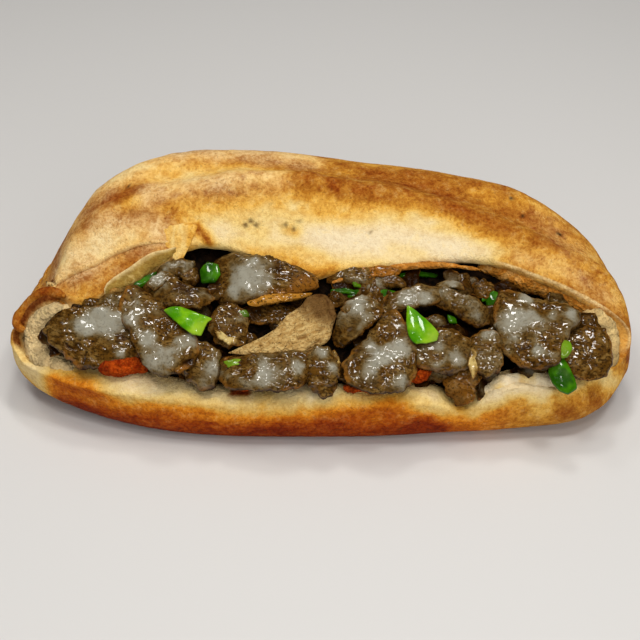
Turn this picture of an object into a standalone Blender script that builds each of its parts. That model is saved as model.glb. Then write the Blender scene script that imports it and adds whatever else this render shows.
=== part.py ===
"""Stromboli: a baked dough pocket, open along its front, filled with steak, cheese and pepper.

Metres, +Z up, +X along the loaf, the mouth faces -Y. The loaf rests on z = 0.
"""
import math

import bmesh
import bpy
import numpy as np
from mathutils import Matrix, Vector

MM = 0.001

# Move that brings the footprint of the whole over the origin, millimetres
CENTRING = (0.6, 6.2, 0.0)

# Loaf skin, millimetres. A station u runs from -1 (left end) to 1 (right end).
HALF_LENGTH = 118.0
END_POWER = 2.9
SPINE_Y = -35.0
FRONT_DEPTH = 35.5
FRONT_POWER = 2.2
FRONT_SKEW = -4.5
BACK_DEPTH = 96.0
BACK_POWER = 2.3
WAIST_Z = 24.0
DOME_RISE = 49.0
DOME_LEFT_POWER = 2.7
DOME_RIGHT_POWER = 3.2
DOME_LEAN = 0.29
DOME_LEFT_SET = 16.0
DOME_POWER = 2.0
FRONT_DROP = 20.0
BELLY_DROP = 31.0
BELLY_POWER = 3.6

# Walls of the pocket
TOP_WALL = 5.0
BACK_WALL = 7.0
FRONT_WALL = 12.0
FLAP_WALL = 3.0
RIM_LIP = 12.0
RIM_FLAP = 5.0
END_WALL = 7.0
FLOOR_WALL = 7.0

# Mouth
MOUTH_PITCH = 23.0
LIP_NOTCH_X = 52.0
LIP_NOTCH_DEPTH = 6.0
MOUTH_STATIONS = (
    (-116, -37, 26), (-110, -47, 23), (-99, -54, 22), (-82, -61, 22), (-55, -66, 21),
    (-20, -69, 20), (15, -69, 20), (40, -68, 21), (62, -66, 22), (85, -63, 21),
    (102, -55, 22), (113, -46, 24), (117, -38, 29), (112, -35, 36), (101, -30, 42),
    (84, -25, 48), (64, -19, 52), (45, -20, 53), (30, -22, 53), (9, -24, 52),
    (-4, -26, 51), (-17, -24, 52), (-28, -19, 55), (-38, -16, 57), (-48, -16, 57),
    (-58, -21, 54), (-70, -28, 49), (-79, -32, 47), (-88, -34, 44), (-98, -30, 44),
    (-108, -30, 39), (-114, -34, 32),
)

# Mesh of the bread: spokes round the mouth, rings from the back to the lip and inside
SPOKES = 72
SKIN_RINGS = 21
LIP_RINGS = 4
CAVITY_RINGS = 9

# Heap of filling: a plane that leans back from the lip
HEAP_CENTRE = (0.0, -48.0, 38.0)
HEAP_SLOPE = 31.0
CORE_RECESS = 4.5
CORE_SLOPE = 27.0
CORE_CLEARANCE = 3.0
CORE_MOUTH_LENGTH = 0.93
GAP = 0.3

# Sliced steak: name, along, up the slope, proud, length, width, thickness, turn, curl
STEAK = (
    ("steak_left_end", -82, -3, -1, 40, 20, 7, -6, 10),
    ("steak_left_back", -77, 13, -3, 22, 12, 6, -20, 10),
    ("steak_upper_curl", -51, 14, 1, 30, 13, 7, 12, 40),
    ("steak_rear_left", -55, 27, -4, 16, 9, 6, 0, 10),
    ("steak_small_left", -33, 3, 0, 14, 18, 6, 10, 20),
    ("steak_lower_left", -44, -13, 0, 15, 20, 7, 15, 10),
    ("steak_lower_mid", -20, -16, 2, 36, 16, 7, -4, 15),
    ("steak_shade_mid", -18, 10, -4, 24, 10, 6, 0, 10),
    ("steak_low_small", 1, -17, 3, 12, 18, 7, 4, 15),
    ("steak_mid_curl", 14, 4, 1, 22, 13, 7, 48, 40),
    ("steak_rear_mid", 15, 24, -4, 24, 8, 6, -6, 10),
    ("steak_strand", 33, 14, 0, 24, 8, 6, 8, 20),
    ("steak_mid_right", 45, -7, 1, 22, 17, 7, -12, 10),
    ("steak_bent_strip", 52, 11, 0, 26, 9, 7, -24, 45),
    ("steak_in_notch", 52, -19, 1, 11, 14, 6, 8, 10),
    ("steak_upright", 60, -8, 2, 12, 19, 7, -10, 15),
    ("steak_right_end", 97, -7, -2, 20, 22, 7, 12, 10),
    ("steak_red_left", -49, 24, -4, 8, 9, 5, 20, 10),
    ("steak_red_right", 61, 19, -4, 8, 9, 5, 20, 10),
)

# Melted cheese slabs, same columns
CHEESE = (
    ("cheese_left", -57, -3, 2, 25, 33, 7, 34, 12),
    ("cheese_centre", -20, 22, 0, 40, 15, 7, -8, 20),
    ("cheese_mid_right", 24, -10, 3, 27, 31, 7, -38, 12),
    ("cheese_rear_mid", 24, 23, -4, 16, 9, 5, -20, 10),
    ("cheese_right", 78, 1, 2, 31, 33, 8, 22, 15),
)

# Green pepper strips, same columns
PEPPER = (
    ("pepper_left", -48, 1, 7, 24, 8, 4, -22, 20),
    ("pepper_dark_left", -41, 25, -2, 9, 9, 4, 10, 20),
    ("pepper_rear_left", -67, 23, -2, 15, 6, 4, 30, 10),
    ("pepper_centre", 37, 0, 7, 14, 16, 5, 14, 10),
    ("pepper_rear_mid", 18, 17, -4, 24, 5, 4, -4, 10),
    ("pepper_dark_right", 65, 13, -3, 7, 10, 4, 30, 20),
    ("pepper_right", 86, -14, 3, 8, 24, 4, 14, 20),
)

# Toasted flatbread-like slice that bridges the heap, same columns
SLICE = (("slice_tan", -10, -1, 4, 42, 14, 5, 26, 14),)

PIECE_SEGMENTS = 12
PIECE_RINGS = 7

BREAD_COLOUR = (0.72, 0.44, 0.17)
CORE_COLOUR = (0.10, 0.07, 0.05)
STEAK_COLOUR = (0.17, 0.12, 0.09)
CHEESE_COLOUR = (0.55, 0.53, 0.48)
PEPPER_COLOUR = (0.12, 0.42, 0.03)
SLICE_COLOUR = (0.45, 0.30, 0.16)


def arc(u, power):
    """Superellipse ordinate at u in -1..1."""
    return np.maximum(0.0, 1.0 - np.abs(u) ** power) ** (1.0 / power)


def smooth(low, high, value):
    """Smooth step from 0 below low to 1 above high."""
    t = np.clip((value - low) / (high - low), 0.0, 1.0)
    return t * t * (3.0 - 2.0 * t)


def hump(value, centre, width):
    """Bell of height 1."""
    return np.exp(-(((value - centre) / width) ** 2))


def section(turn):
    """Front-to-back and up-down factors of the loaf section at an angle."""
    power = np.where(np.sin(turn) >= 0.0, DOME_POWER, BELLY_POWER)
    c = np.cos(turn)
    s = np.sin(turn)
    size = (np.abs(c) ** power + np.abs(s) ** power) ** (1.0 / power)
    return c / size, np.abs(s) / size


def station_depths(u):
    """Front and back edges of the loaf at station u."""
    swell = 3.4 * hump(u, -0.5, 0.36) - 1.6 * hump(u, 0.4, 0.2) + 3.6 * hump(u, 0.84, 0.14)
    front = SPINE_Y - FRONT_DEPTH * arc(u, FRONT_POWER) + FRONT_SKEW * u - swell
    back = SPINE_Y + BACK_DEPTH * arc(u, BACK_POWER)
    back = np.maximum(back, front + 2.0)
    return front, back


def dome_height(u):
    """Rise of the dome above the waist at station u."""
    power = np.where(u < 0.0, DOME_LEFT_POWER, DOME_RIGHT_POWER)
    swell = 3.2 * hump(u, 0.68, 0.2) - 1.6 * hump(u, 0.16, 0.2) + 1.4 * hump(u, -0.6, 0.18)
    return DOME_RISE * arc(u, power) * (1.0 - DOME_LEAN * u) + swell


def ridges(x, y):
    """Two rounded crests along the dome and the shallow valley between them."""
    line = 4.0 - 26.0 * (np.abs(x + 5.0) / 105.0) ** 1.4
    crest = 1.6 * hump(y, line - 2.0, 10.0)
    valley = -2.4 * hump(y, line + 13.0, 8.0)
    back_crest = 1.6 * hump(y, line + 27.0, 9.0)
    return crest + valley + back_crest


def skin(direction, wall):
    """Points of the loaf skin, millimetres: wall 0 is the crust, 1 the wall of the cavity."""
    x, y, z = direction.T
    across = np.hypot(y, z)
    size = (np.abs(x) ** END_POWER + across ** END_POWER) ** (1.0 / END_POWER)
    u = x / size
    turn = np.arctan2(z, y)
    v, s = section(turn)
    front, back = station_depths(u)
    py = 0.5 * (front + back) + 0.5 * v * (back - front)
    px = HALF_LENGTH * u + DOME_LEFT_SET * s * np.where(z > 0, u * u * (u < 0), 0.0)
    belt = s * arc(u, 2.0)
    dome = WAIST_Z + (dome_height(u) - TOP_WALL * wall) * s
    dome = dome - FRONT_DROP * belt * (1.0 - smooth(-40.0, 14.0, py))
    dome = dome + ridges(px, py) * belt * s
    front_wall = FRONT_WALL + (FLAP_WALL - FRONT_WALL) * np.where(z > 0.0, s, 0.0)
    py = py + wall * (0.5 * (1.0 - v) * front_wall - 0.5 * (1.0 + v) * BACK_WALL)
    px = px - wall * END_WALL * u
    belly = np.maximum(FLOOR_WALL * wall, WAIST_Z - BELLY_DROP * s * arc(u, 3.0))
    return np.stack([px, py, np.where(z >= 0.0, dome, belly)], axis=-1)


def direction_to(target):
    """Unit direction whose skin point lies nearest a target point."""
    x, y, z = target.T
    u = x / HALF_LENGTH
    for _ in range(6):
        u = np.clip(u, -0.985, 0.985)
        front, back = station_depths(u)
        v = (y - 0.5 * (front + back)) / (0.5 * (back - front))
        up = (z - WAIST_Z) / np.where(z >= WAIST_Z, dome_height(u), BELLY_DROP * arc(u, 3.0))
        turn = np.arctan2(up, v)
        set_in = DOME_LEFT_SET * section(turn)[1] * u * u * (u < 0.0) * (z > WAIST_Z)
        u = (x - set_in) / HALF_LENGTH
    u = np.clip(u, -0.985, 0.985)
    across = arc(u, END_POWER)
    found = np.stack([u, across * np.cos(turn), across * np.sin(turn)], axis=-1)
    return found / np.linalg.norm(found, axis=1, keepdims=True)


def closed_spline(stations, count):
    """Evenly spaced points of a closed Catmull-Rom curve through the stations."""
    p = np.array(stations, dtype=float)
    fine = []
    for i in range(len(p)):
        a, b, c, d = p[i - 1], p[i], p[(i + 1) % len(p)], p[(i + 2) % len(p)]
        for t in np.linspace(0.0, 1.0, 24, endpoint=False):
            fine.append(0.5 * (2 * b + (c - a) * t + (2 * a - 5 * b + 4 * c - d) * t * t
                               + (3 * b - a - 3 * c + d) * t ** 3))
    fine = np.array(fine + fine[:1])
    length = np.concatenate([[0.0], np.cumsum(np.linalg.norm(np.diff(fine, axis=0), axis=1))])
    wanted = np.linspace(0.0, length[-1], count, endpoint=False)
    return np.stack([np.interp(wanted, length, fine[:, k]) for k in range(3)], axis=-1)


def mouth_edge(count):
    """Outer edge of the mouth, with the notch in the lower lip."""
    edge = closed_spline(MOUTH_STATIONS, count)
    lower = edge[:, 1] < -40.0
    edge[:, 2] -= LIP_NOTCH_DEPTH * hump(edge[:, 0], LIP_NOTCH_X, 7.0) * lower
    return edge


def turned(start, end, fraction):
    """Directions a fraction of the way along the great circles from start to end."""
    angle = np.arccos(np.clip(end @ start, -1.0, 1.0))[:, None]
    a = np.sin((1.0 - fraction) * angle)
    b = np.sin(fraction * angle)
    return (a * start + b * end) / np.sin(angle)


def back_pole():
    """Direction of the back of the pocket, opposite the mouth."""
    pitch = math.radians(MOUTH_PITCH)
    return np.array([0.0, math.cos(pitch), -math.sin(pitch)])


def ring_at(f, pole, ends, shift, wall):
    """Ring of skin points a fraction f of the way from the back to the mouth."""
    return skin(turned(pole, ends, f), wall) + smooth(0.62, 1.0, f) * shift


def wall_thickness(edge):
    """Thickness of the dough at the mouth: a fat lower lip and a thin upper flap."""
    return RIM_FLAP + (RIM_LIP - RIM_FLAP) * smooth(-38.0, -58.0, edge[:, 1])


def cavity_ring(f, pole, ends, shift, thickness):
    """Ring of the cavity wall; near the mouth it follows the crust at the dough's thickness."""
    outer = ring_at(f, pole, ends, shift, 0.0)
    along = np.roll(outer, -1, axis=0) - np.roll(outer, 1, axis=0)
    ahead = ring_at(min(f + 0.01, 1.0), pole, ends, shift, 0.0) - ring_at(f - 0.01, pole, ends, shift, 0.0)
    normal = np.cross(along, ahead)
    normal /= np.linalg.norm(normal, axis=1, keepdims=True)
    near_mouth = outer - normal * thickness[:, None]
    weight = smooth(0.66, 0.94, f)
    return (1.0 - weight) * ring_at(f, pole, ends, shift, 1.0) + weight * near_mouth


def bread_rings():
    """Rings of points from the back of the crust, over the lip, to the back of the cavity."""
    edge = mouth_edge(SPOKES)
    ends = direction_to(edge)
    pole = back_pole()
    shift = edge - skin(ends, 0.0)
    thickness = wall_thickness(edge)
    rings = []
    for i in range(1, SKIN_RINGS + 1):
        rings.append(ring_at(i / SKIN_RINGS, pole, ends, shift, 0.0))
    outer = rings[-1]
    inner = cavity_ring(1.0, pole, ends, shift, thickness)
    ahead = outer - rings[-2]
    span = inner - outer
    ahead -= span * (np.sum(ahead * span, axis=1) / np.sum(span * span, axis=1))[:, None]
    ahead /= np.linalg.norm(ahead, axis=1, keepdims=True)
    radius = 0.5 * np.linalg.norm(span, axis=1, keepdims=True)
    for i in range(1, LIP_RINGS):
        angle = math.pi * i / LIP_RINGS
        rings.append(0.5 * (outer + inner) - 0.5 * span * math.cos(angle) + ahead * radius * math.sin(angle))
    for i in range(CAVITY_RINGS + 1):
        rings.append(cavity_ring(1.0 - 0.93 * i / CAVITY_RINGS, pole, ends, shift, thickness))
    return rings


def collection_named(name):
    """Collection linked to the scene, made when missing."""
    found = bpy.data.collections.get(name)
    if found is None:
        found = bpy.data.collections.new(name)
        bpy.context.scene.collection.children.link(found)
    return found


def material_named(name, colour, roughness):
    """Principled material of one plain colour."""
    made = bpy.data.materials.new(name)
    made.use_nodes = True
    shader = made.node_tree.nodes["Principled BSDF"]
    shader.inputs["Base Color"].default_value = (*colour, 1.0)
    shader.inputs["Roughness"].default_value = roughness
    return made


def object_from(mesh_maker, name, material, collection):
    """Object whose closed mesh faces outward."""
    bm = mesh_maker
    bmesh.ops.recalc_face_normals(bm, faces=bm.faces)
    if bm.calc_volume(signed=True) < 0.0:
        bmesh.ops.reverse_faces(bm, faces=bm.faces)
    mesh = bpy.data.meshes.new(name)
    bm.to_mesh(mesh)
    bm.free()
    mesh.materials.append(material)
    made = bpy.data.objects.new(name, mesh)
    collection.objects.link(made)
    return made


def sphere_to_rings(rings, first_pole, last_pole):
    """Closed body: a UV sphere whose rings take the given points."""
    bm = bmesh.new()
    bmesh.ops.create_uvsphere(bm, u_segments=len(rings[0]), v_segments=len(rings) + 1, radius=1.0)
    levels = sorted({round(vert.co.z, 5) for vert in bm.verts}, reverse=True)
    order = {level: i for i, level in enumerate(levels)}
    count = len(rings[0])
    for vert in bm.verts:
        i = order[round(vert.co.z, 5)]
        if i == 0:
            vert.co = Vector(first_pole) * MM
        elif i == len(levels) - 1:
            vert.co = Vector(last_pole) * MM
        else:
            spoke = round(math.atan2(vert.co.y, vert.co.x) / (2.0 * math.pi) * count) % count
            vert.co = Vector(rings[i - 1][spoke]) * MM
    bmesh.ops.triangulate(bm, faces=bm.faces)
    return bm


def build_bread(material, collection):
    """Pocket of baked dough: crust, rolled lip and cavity in one closed body."""
    rings = bread_rings()
    crust_pole = skin(back_pole()[None, :], 0.0)[0]
    cavity_pole = rings[-1].mean(axis=0)
    return object_from(sphere_to_rings(rings, crust_pole, cavity_pole), "bread", material, collection)


def core_rings():
    """Rings of the filling that fills the cavity, closed by a sunken face at the mouth."""
    edge = mouth_edge(SPOKES)
    ends = direction_to(edge)
    pole = back_pole()
    shift = edge - skin(ends, 0.0)
    thickness = wall_thickness(edge)
    rings = []
    for i in range(CAVITY_RINGS - 1, 0, -1):
        f = 1.0 - 0.93 * i / CAVITY_RINGS
        inward = ring_at(f, pole, ends, shift, 1.2) - ring_at(f, pole, ends, shift, 1.0)
        inward /= np.linalg.norm(inward, axis=1, keepdims=True) + 1e-6
        ring = cavity_ring(f, pole, ends, shift, thickness) + CORE_CLEARANCE * inward
        shorten = 1.0 - (1.0 - CORE_MOUTH_LENGTH) * smooth(0.3, 0.8, f)
        rings.append(ring * np.array([shorten, 1.0, 1.0]))
    lean = math.radians(CORE_SLOPE)
    normal = np.array([0.0, -math.sin(lean), math.cos(lean)])
    middle = np.array(HEAP_CENTRE) - normal * CORE_RECESS
    rim = rings[-1]
    proud = (rim - middle) @ normal
    ease = 1.0 - smooth(0.80, 0.96, np.abs(rim[:, 0]) / HALF_LENGTH)
    rings[-1] = rim - (np.maximum(proud, 0.0) * ease)[:, None] * normal
    level = rings[-1] - ((rings[-1] - middle) @ normal)[:, None] * normal
    rings += [middle + (level - middle) * f for f in (0.72, 0.40)]
    return rings, middle


def build_core(material, collection):
    """Chopped filling behind the visible slices."""
    rings, middle = core_rings()
    first = rings[0].mean(axis=0)
    return object_from(sphere_to_rings(rings, first, middle), "filling_core", material, collection)


def heap_matrix(along, up, proud, turn):
    """Placement on the leaning face of the heap."""
    lean = math.radians(HEAP_SLOPE)
    slope = Matrix.Rotation(lean, 4, "X")
    offset = Matrix.Translation(Vector((along, up, proud)) * MM)
    centre = Matrix.Translation(Vector(HEAP_CENTRE) * MM)
    return centre @ slope @ offset @ Matrix.Rotation(math.radians(turn), 4, "Z")


def piece_mesh(row, number):
    """Slab of filling: a flattened, curled and knobbly rounded body."""
    name, along, up, proud, length, width, thick, turn, curl = row
    bm = bmesh.new()
    bmesh.ops.create_uvsphere(bm, u_segments=PIECE_SEGMENTS, v_segments=PIECE_RINGS, radius=1.0)
    bend = math.radians(curl) / max(length, 1.0) * 2.0
    for vert in bm.verts:
        x, y, z = vert.co
        around = math.atan2(y, x)
        level = math.hypot(x, y) ** 0.55
        wobble = 1.0 + 0.10 * math.sin(3.0 * around + number) + 0.07 * math.sin(5.0 * around + 2.1 * number)
        px = 0.5 * length * level * math.cos(around) * wobble
        py = 0.5 * width * level * math.sin(around) * wobble
        pz = 0.5 * thick * math.copysign(abs(z) ** 0.8, z)
        pz += 0.10 * thick * math.sin(0.5 * px + number) * math.cos(0.6 * py)
        angle = bend * px
        radius = 1.0 / bend
        vert.co = Vector(((radius + pz) * math.sin(angle), py, (radius + pz) * math.cos(angle) - radius)) * MM
    bmesh.ops.transform(bm, matrix=heap_matrix(along, up, proud, turn), verts=bm.verts)
    bmesh.ops.triangulate(bm, faces=bm.faces)
    return bm


def swollen_copy(source, collection):
    """Cutter: a copy of a body grown by the gap."""
    bm = bmesh.new()
    bm.from_mesh(source.data)
    bm.normal_update()
    for vert in bm.verts:
        vert.co += vert.normal * (1.15 * GAP * MM)
    mesh = bpy.data.meshes.new("cutter_mesh")
    bm.to_mesh(mesh)
    bm.free()
    made = bpy.data.objects.new("cutter", mesh)
    made.hide_render = True
    made.display_type = "WIRE"
    collection.objects.link(made)
    return made


def corners(item):
    """Lowest and highest corner of an object's mesh."""
    points = np.array([vert.co for vert in item.data.vertices])
    return points.min(axis=0), points.max(axis=0)


def near(one, other):
    """True where two objects' boxes meet."""
    low_a, high_a = corners(one)
    low_b, high_b = corners(other)
    return bool(np.all(low_a - 0.001 < high_b) and np.all(low_b - 0.001 < high_a))


def keep_largest_body(bm):
    """Remove every body but the largest; bodies that only touch at a point count apart."""
    left = set(bm.faces)
    bodies = []
    while left:
        seed = left.pop()
        body = [seed]
        open_faces = [seed]
        while open_faces:
            for edge in open_faces.pop().edges:
                for face in edge.link_faces:
                    if face in left:
                        left.discard(face)
                        body.append(face)
                        open_faces.append(face)
        bodies.append(body)
    bodies.sort(key=len)
    for body in bodies[:-1]:
        bmesh.ops.delete(bm, geom=body, context="FACES")


def cut_apart(item, neighbours, cutters):
    """Take the neighbours, grown by the gap, out of a body."""
    made = [swollen_copy(other, cutters) for other in neighbours if near(item, other)]
    if not made:
        return
    modifier = item.modifiers.new("cut", "BOOLEAN")
    modifier.operation = "DIFFERENCE"
    modifier.operand_type = "COLLECTION"
    modifier.collection = cutters
    modifier.solver = "MANIFOLD"
    bpy.context.view_layer.update()
    graph = bpy.context.evaluated_depsgraph_get()
    result = bpy.data.meshes.new_from_object(item.evaluated_get(graph))
    item.modifiers.clear()
    bm = bmesh.new()
    bm.from_mesh(result)
    bmesh.ops.remove_doubles(bm, verts=bm.verts, dist=0.00002)
    bmesh.ops.dissolve_degenerate(bm, dist=0.00002, edges=bm.edges)
    keep_largest_body(bm)
    bmesh.ops.dissolve_limit(bm, angle_limit=0.06, verts=bm.verts, edges=bm.edges)
    bmesh.ops.triangulate(bm, faces=bm.faces)
    bm.to_mesh(item.data)
    bm.free()
    bpy.data.meshes.remove(result)
    for cutter in made:
        bpy.data.objects.remove(cutter)


def build_filling(settled, collection, cutters):
    """Every visible slice, each clear of the pieces that lie in front of it."""
    steak = material_named("steak", STEAK_COLOUR, 0.5)
    cheese = material_named("melted_cheese", CHEESE_COLOUR, 0.25)
    pepper = material_named("green_pepper", PEPPER_COLOUR, 0.3)
    toasted = material_named("toasted_slice", SLICE_COLOUR, 0.8)
    rows = [(row, steak) for row in STEAK] + [(row, cheese) for row in CHEESE]
    rows += [(row, pepper) for row in PEPPER] + [(row, toasted) for row in SLICE]
    rows.sort(key=lambda pair: -pair[0][3])
    for number, (row, material) in enumerate(rows):
        item = object_from(piece_mesh(row, number), row[0], material, collection)
        cut_apart(item, settled, cutters)
        settled.append(item)


def centre_all(collection):
    """Bring the footprint over the origin."""
    move = Matrix.Translation(Vector(CENTRING) * MM)
    for item in collection.objects:
        item.data.transform(move)


def main():
    """Build the whole stromboli."""
    for item in list(bpy.data.objects):
        bpy.data.objects.remove(item)
    collection = collection_named("stromboli")
    cutters = collection_named("cutters")
    bread = build_bread(material_named("bread", BREAD_COLOUR, 0.7), collection)
    core = build_core(material_named("filling_core", CORE_COLOUR, 0.6), collection)
    build_filling([bread, core], collection, cutters)
    centre_all(collection)


main()
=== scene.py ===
"""Looks of the stromboli: crust, folds of dough, steak, melted cheese, pepper and a toasted slice.

Sizes are millimetres in loaf coordinates: +Z up, +X along the loaf, the mouth faces -Y. CENTRING brings
them over the origin of the row frame, in metres, when a mesh is made.
"""

import logging
import math
from dataclasses import dataclass, field
from enum import Enum
from typing import Any, Union

import bmesh
import bpy
import numpy as np
from bpy.types import Material, Mesh, NodeSocket, Object
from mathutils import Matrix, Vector
from mathutils.bvhtree import BVHTree


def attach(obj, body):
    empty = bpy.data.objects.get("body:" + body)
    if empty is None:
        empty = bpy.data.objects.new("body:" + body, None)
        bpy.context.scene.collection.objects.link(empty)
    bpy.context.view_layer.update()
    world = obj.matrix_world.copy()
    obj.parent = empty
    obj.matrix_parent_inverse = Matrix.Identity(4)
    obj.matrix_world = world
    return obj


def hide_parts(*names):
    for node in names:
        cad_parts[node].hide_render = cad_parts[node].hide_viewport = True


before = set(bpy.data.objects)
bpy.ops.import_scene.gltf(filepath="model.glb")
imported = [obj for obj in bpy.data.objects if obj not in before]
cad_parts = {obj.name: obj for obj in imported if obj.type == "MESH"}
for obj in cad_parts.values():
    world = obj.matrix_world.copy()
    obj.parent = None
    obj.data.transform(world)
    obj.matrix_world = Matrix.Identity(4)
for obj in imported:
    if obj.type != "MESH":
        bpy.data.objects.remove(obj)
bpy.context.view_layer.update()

MM = 0.001
CENTRING = np.array([0.6, 6.2, 0.0])
SPLINE_STEPS = 24
LOG = logging.getLogger("stromboli")

Array = np.ndarray
Point = tuple[float, float, float]
Colour = tuple[float, float, float]
Path = tuple[Point, ...]
Bells = tuple[Point, ...]
Plan = tuple[tuple[float, float], ...]
Field = Union[float, Array]


# ---- numbers


def smooth(low: float, high: float, value: Array) -> Array:
    """Smooth step from 0 below low to 1 above high."""
    t = np.clip((value - low) / (high - low), 0.0, 1.0)
    return t * t * (3.0 - 2.0 * t)


def hump(value: Array, centre: float, width: float) -> Array:
    """Bell of height 1."""
    return np.exp(-(((value - centre) / width) ** 2))


def humps(value: Array, bells: Bells, start: Field = 0.0) -> Array:
    """Sum of bells, each with its height, its centre counted from start, and its width."""
    return sum(height * hump(value, start + centre, width) for height, centre, width in bells)


def arc(u: Array, power: Field) -> Array:
    """Superellipse ordinate at u in -1..1."""
    return np.maximum(0.0, 1.0 - np.abs(u) ** power) ** (1.0 / power)


def blend(one: Field, two: Field, share: Field) -> Array:
    """Mix of two values or colours, all of the second where the share is 1."""
    return one * (1.0 - share) + two * share


def unit(vectors: Array, least: float = 0.0) -> Array:
    """Vectors of length 1 in the same directions; least keeps the length above 0."""
    return vectors / (np.linalg.norm(vectors, axis=-1, keepdims=True) + least)


def tapering(count: int, power: float) -> Array:
    """Widths of stations that swell from nearly 0 to 1 and shrink again."""
    return np.sin(np.linspace(0.0, math.pi, count + 2)[1:-1]) ** power


def lattice(cells: Array, seed: int) -> Array:
    """Repeatable value in -1..1 for each whole-numbered cell.

    Args:
        cells: whole numbers, three a row.
        seed: picks one of many patterns.

    Returns:
        One value for each row.
    """
    c = cells.astype(np.int64).astype(np.uint32)
    mixed = c[:, 0] * np.uint32(374761393) + c[:, 1] * np.uint32(668265263)
    mixed = mixed + c[:, 2] * np.uint32(2246822519) + np.uint32(seed * 3266489 + 17)
    mixed = (mixed ^ (mixed >> np.uint32(13))) * np.uint32(1274126177)
    mixed = mixed ^ (mixed >> np.uint32(16))
    return (mixed & np.uint32(0xFFFFFF)).astype(float) / 8388607.5 - 1.0


def noise(points: Array, scale: float, seed: int) -> Array:
    """Smooth random field in -1..1 over space.

    Args:
        points: places, three coordinates a row.
        scale: size of a lump, in the points' own unit.
        seed: picks one of many patterns.

    Returns:
        One value for each point.
    """
    flat = points.reshape(-1, 3) / scale
    base = np.floor(flat)
    f = flat - base
    f = f * f * f * (f * (f * 6.0 - 15.0) + 10.0)
    total = np.zeros(len(flat))
    for corner in np.ndindex(2, 2, 2):
        near = np.where(corner, f, 1 - f)
        total += near[:, 0] * near[:, 1] * near[:, 2] * lattice(base + np.array(corner), seed)
    return total.reshape(points.shape[:-1])


def layered(points: Array, scale: float, seed: int, octaves: int = 3) -> Array:
    """Noise at several scales, each half as big and half as strong as the one before.

    Args:
        points: places, three coordinates a row.
        scale: size of the biggest lump.
        seed: picks one of many patterns.
        octaves: how many scales.

    Returns:
        One value for each point, about -1 to 1.
    """
    total = np.zeros(points.shape[:-1])
    for i in range(octaves):
        total += noise(points, scale * 0.5 ** i, seed + i) * 0.5 ** i
    return total / (2.0 - 2.0 * 0.5 ** octaves)


def line_distance(points: Array, path: Array) -> Array:
    """Distance of each point from a line through a few places.

    Args:
        points: places, three coordinates a row.
        path: the line's corners, or one corner for a round mark.

    Returns:
        One distance for each point.
    """
    flat = points.reshape(-1, 3)
    best = np.linalg.norm(flat - path[0], axis=1)
    for start, end in zip(path[:-1], path[1:]):
        span = end - start
        t = np.clip((flat - start) @ span / max(span @ span, 1e-9), 0.0, 1.0)
        best = np.minimum(best, np.linalg.norm(flat - start - t[:, None] * span, axis=1))
    return best.reshape(points.shape[:-1])


def resampled(points: Array, count: int, closed: bool) -> Array:
    """Evenly spaced points of a run of straight lines.

    Args:
        points: its corners, the first one again at the end where it is closed.
        count: how many points to return.
        closed: whether it returns to its start.

    Returns:
        The points, one a row.
    """
    steps = np.linalg.norm(np.diff(points, axis=0), axis=1)
    length = np.concatenate([[0.0], np.cumsum(steps)])
    wanted = np.linspace(0.0, length[-1], count, endpoint=not closed)
    return np.stack([np.interp(wanted, length, column) for column in points.T], axis=-1)


def spline(stations: Array, count: int, closed: bool) -> Array:
    """Evenly spaced points of a Catmull-Rom curve.

    Args:
        stations: places that the curve passes through.
        count: how many points to return.
        closed: whether the last station joins the first.

    Returns:
        The points, one a row.
    """
    p = np.array(stations, dtype=float)
    if not closed:
        p = np.concatenate([2 * p[:1] - p[1:2], p, 2 * p[-1:] - p[-2:-1]])
    n = len(p)
    fine = []
    for i in range(n) if closed else range(1, n - 2):
        a, b, c, d = p[i - 1], p[i], p[(i + 1) % n], p[(i + 2) % n]
        for t in np.linspace(0.0, 1.0, SPLINE_STEPS, endpoint=False):
            fine.append(0.5 * (2 * b + (c - a) * t + (2 * a - 5 * b + 4 * c - d) * t * t
                               + (3 * b - a - 3 * c + d) * t ** 3))
    return resampled(np.array(fine + ([fine[0]] if closed else [p[-2]])), count, closed)


# ---- shader maths


class Socket:
    """A node's output, with arithmetic that adds Math nodes."""

    def __init__(self, graph: "Graph", link: NodeSocket) -> None:
        """Keep the graph and the output."""
        self.graph = graph
        self.link = link

    def __add__(self, other: "Value") -> "Socket":
        """Sum."""
        return self.graph.math("ADD", self, other)

    def __radd__(self, other: "Value") -> "Socket":
        """Sum, the number first."""
        return self.graph.math("ADD", other, self)

    def __sub__(self, other: "Value") -> "Socket":
        """Difference."""
        return self.graph.math("SUBTRACT", self, other)

    def __rsub__(self, other: "Value") -> "Socket":
        """Difference, the number first."""
        return self.graph.math("SUBTRACT", other, self)

    def __mul__(self, other: "Value") -> "Socket":
        """Product."""
        return self.graph.math("MULTIPLY", self, other)

    def __rmul__(self, other: "Value") -> "Socket":
        """Product, the number first."""
        return self.graph.math("MULTIPLY", other, self)

    def step(self, low: float, high: float) -> "Socket":
        """Smooth step of this value from 0 at low to 1 at high."""
        return self.graph.node("ShaderNodeMapRange", "Result",
                               {"Value": self, "From Min": low, "From Max": high},
                               interpolation_type="SMOOTHSTEP")


Value = Union[Socket, float]
Paint = Union[Socket, Colour]


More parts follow.
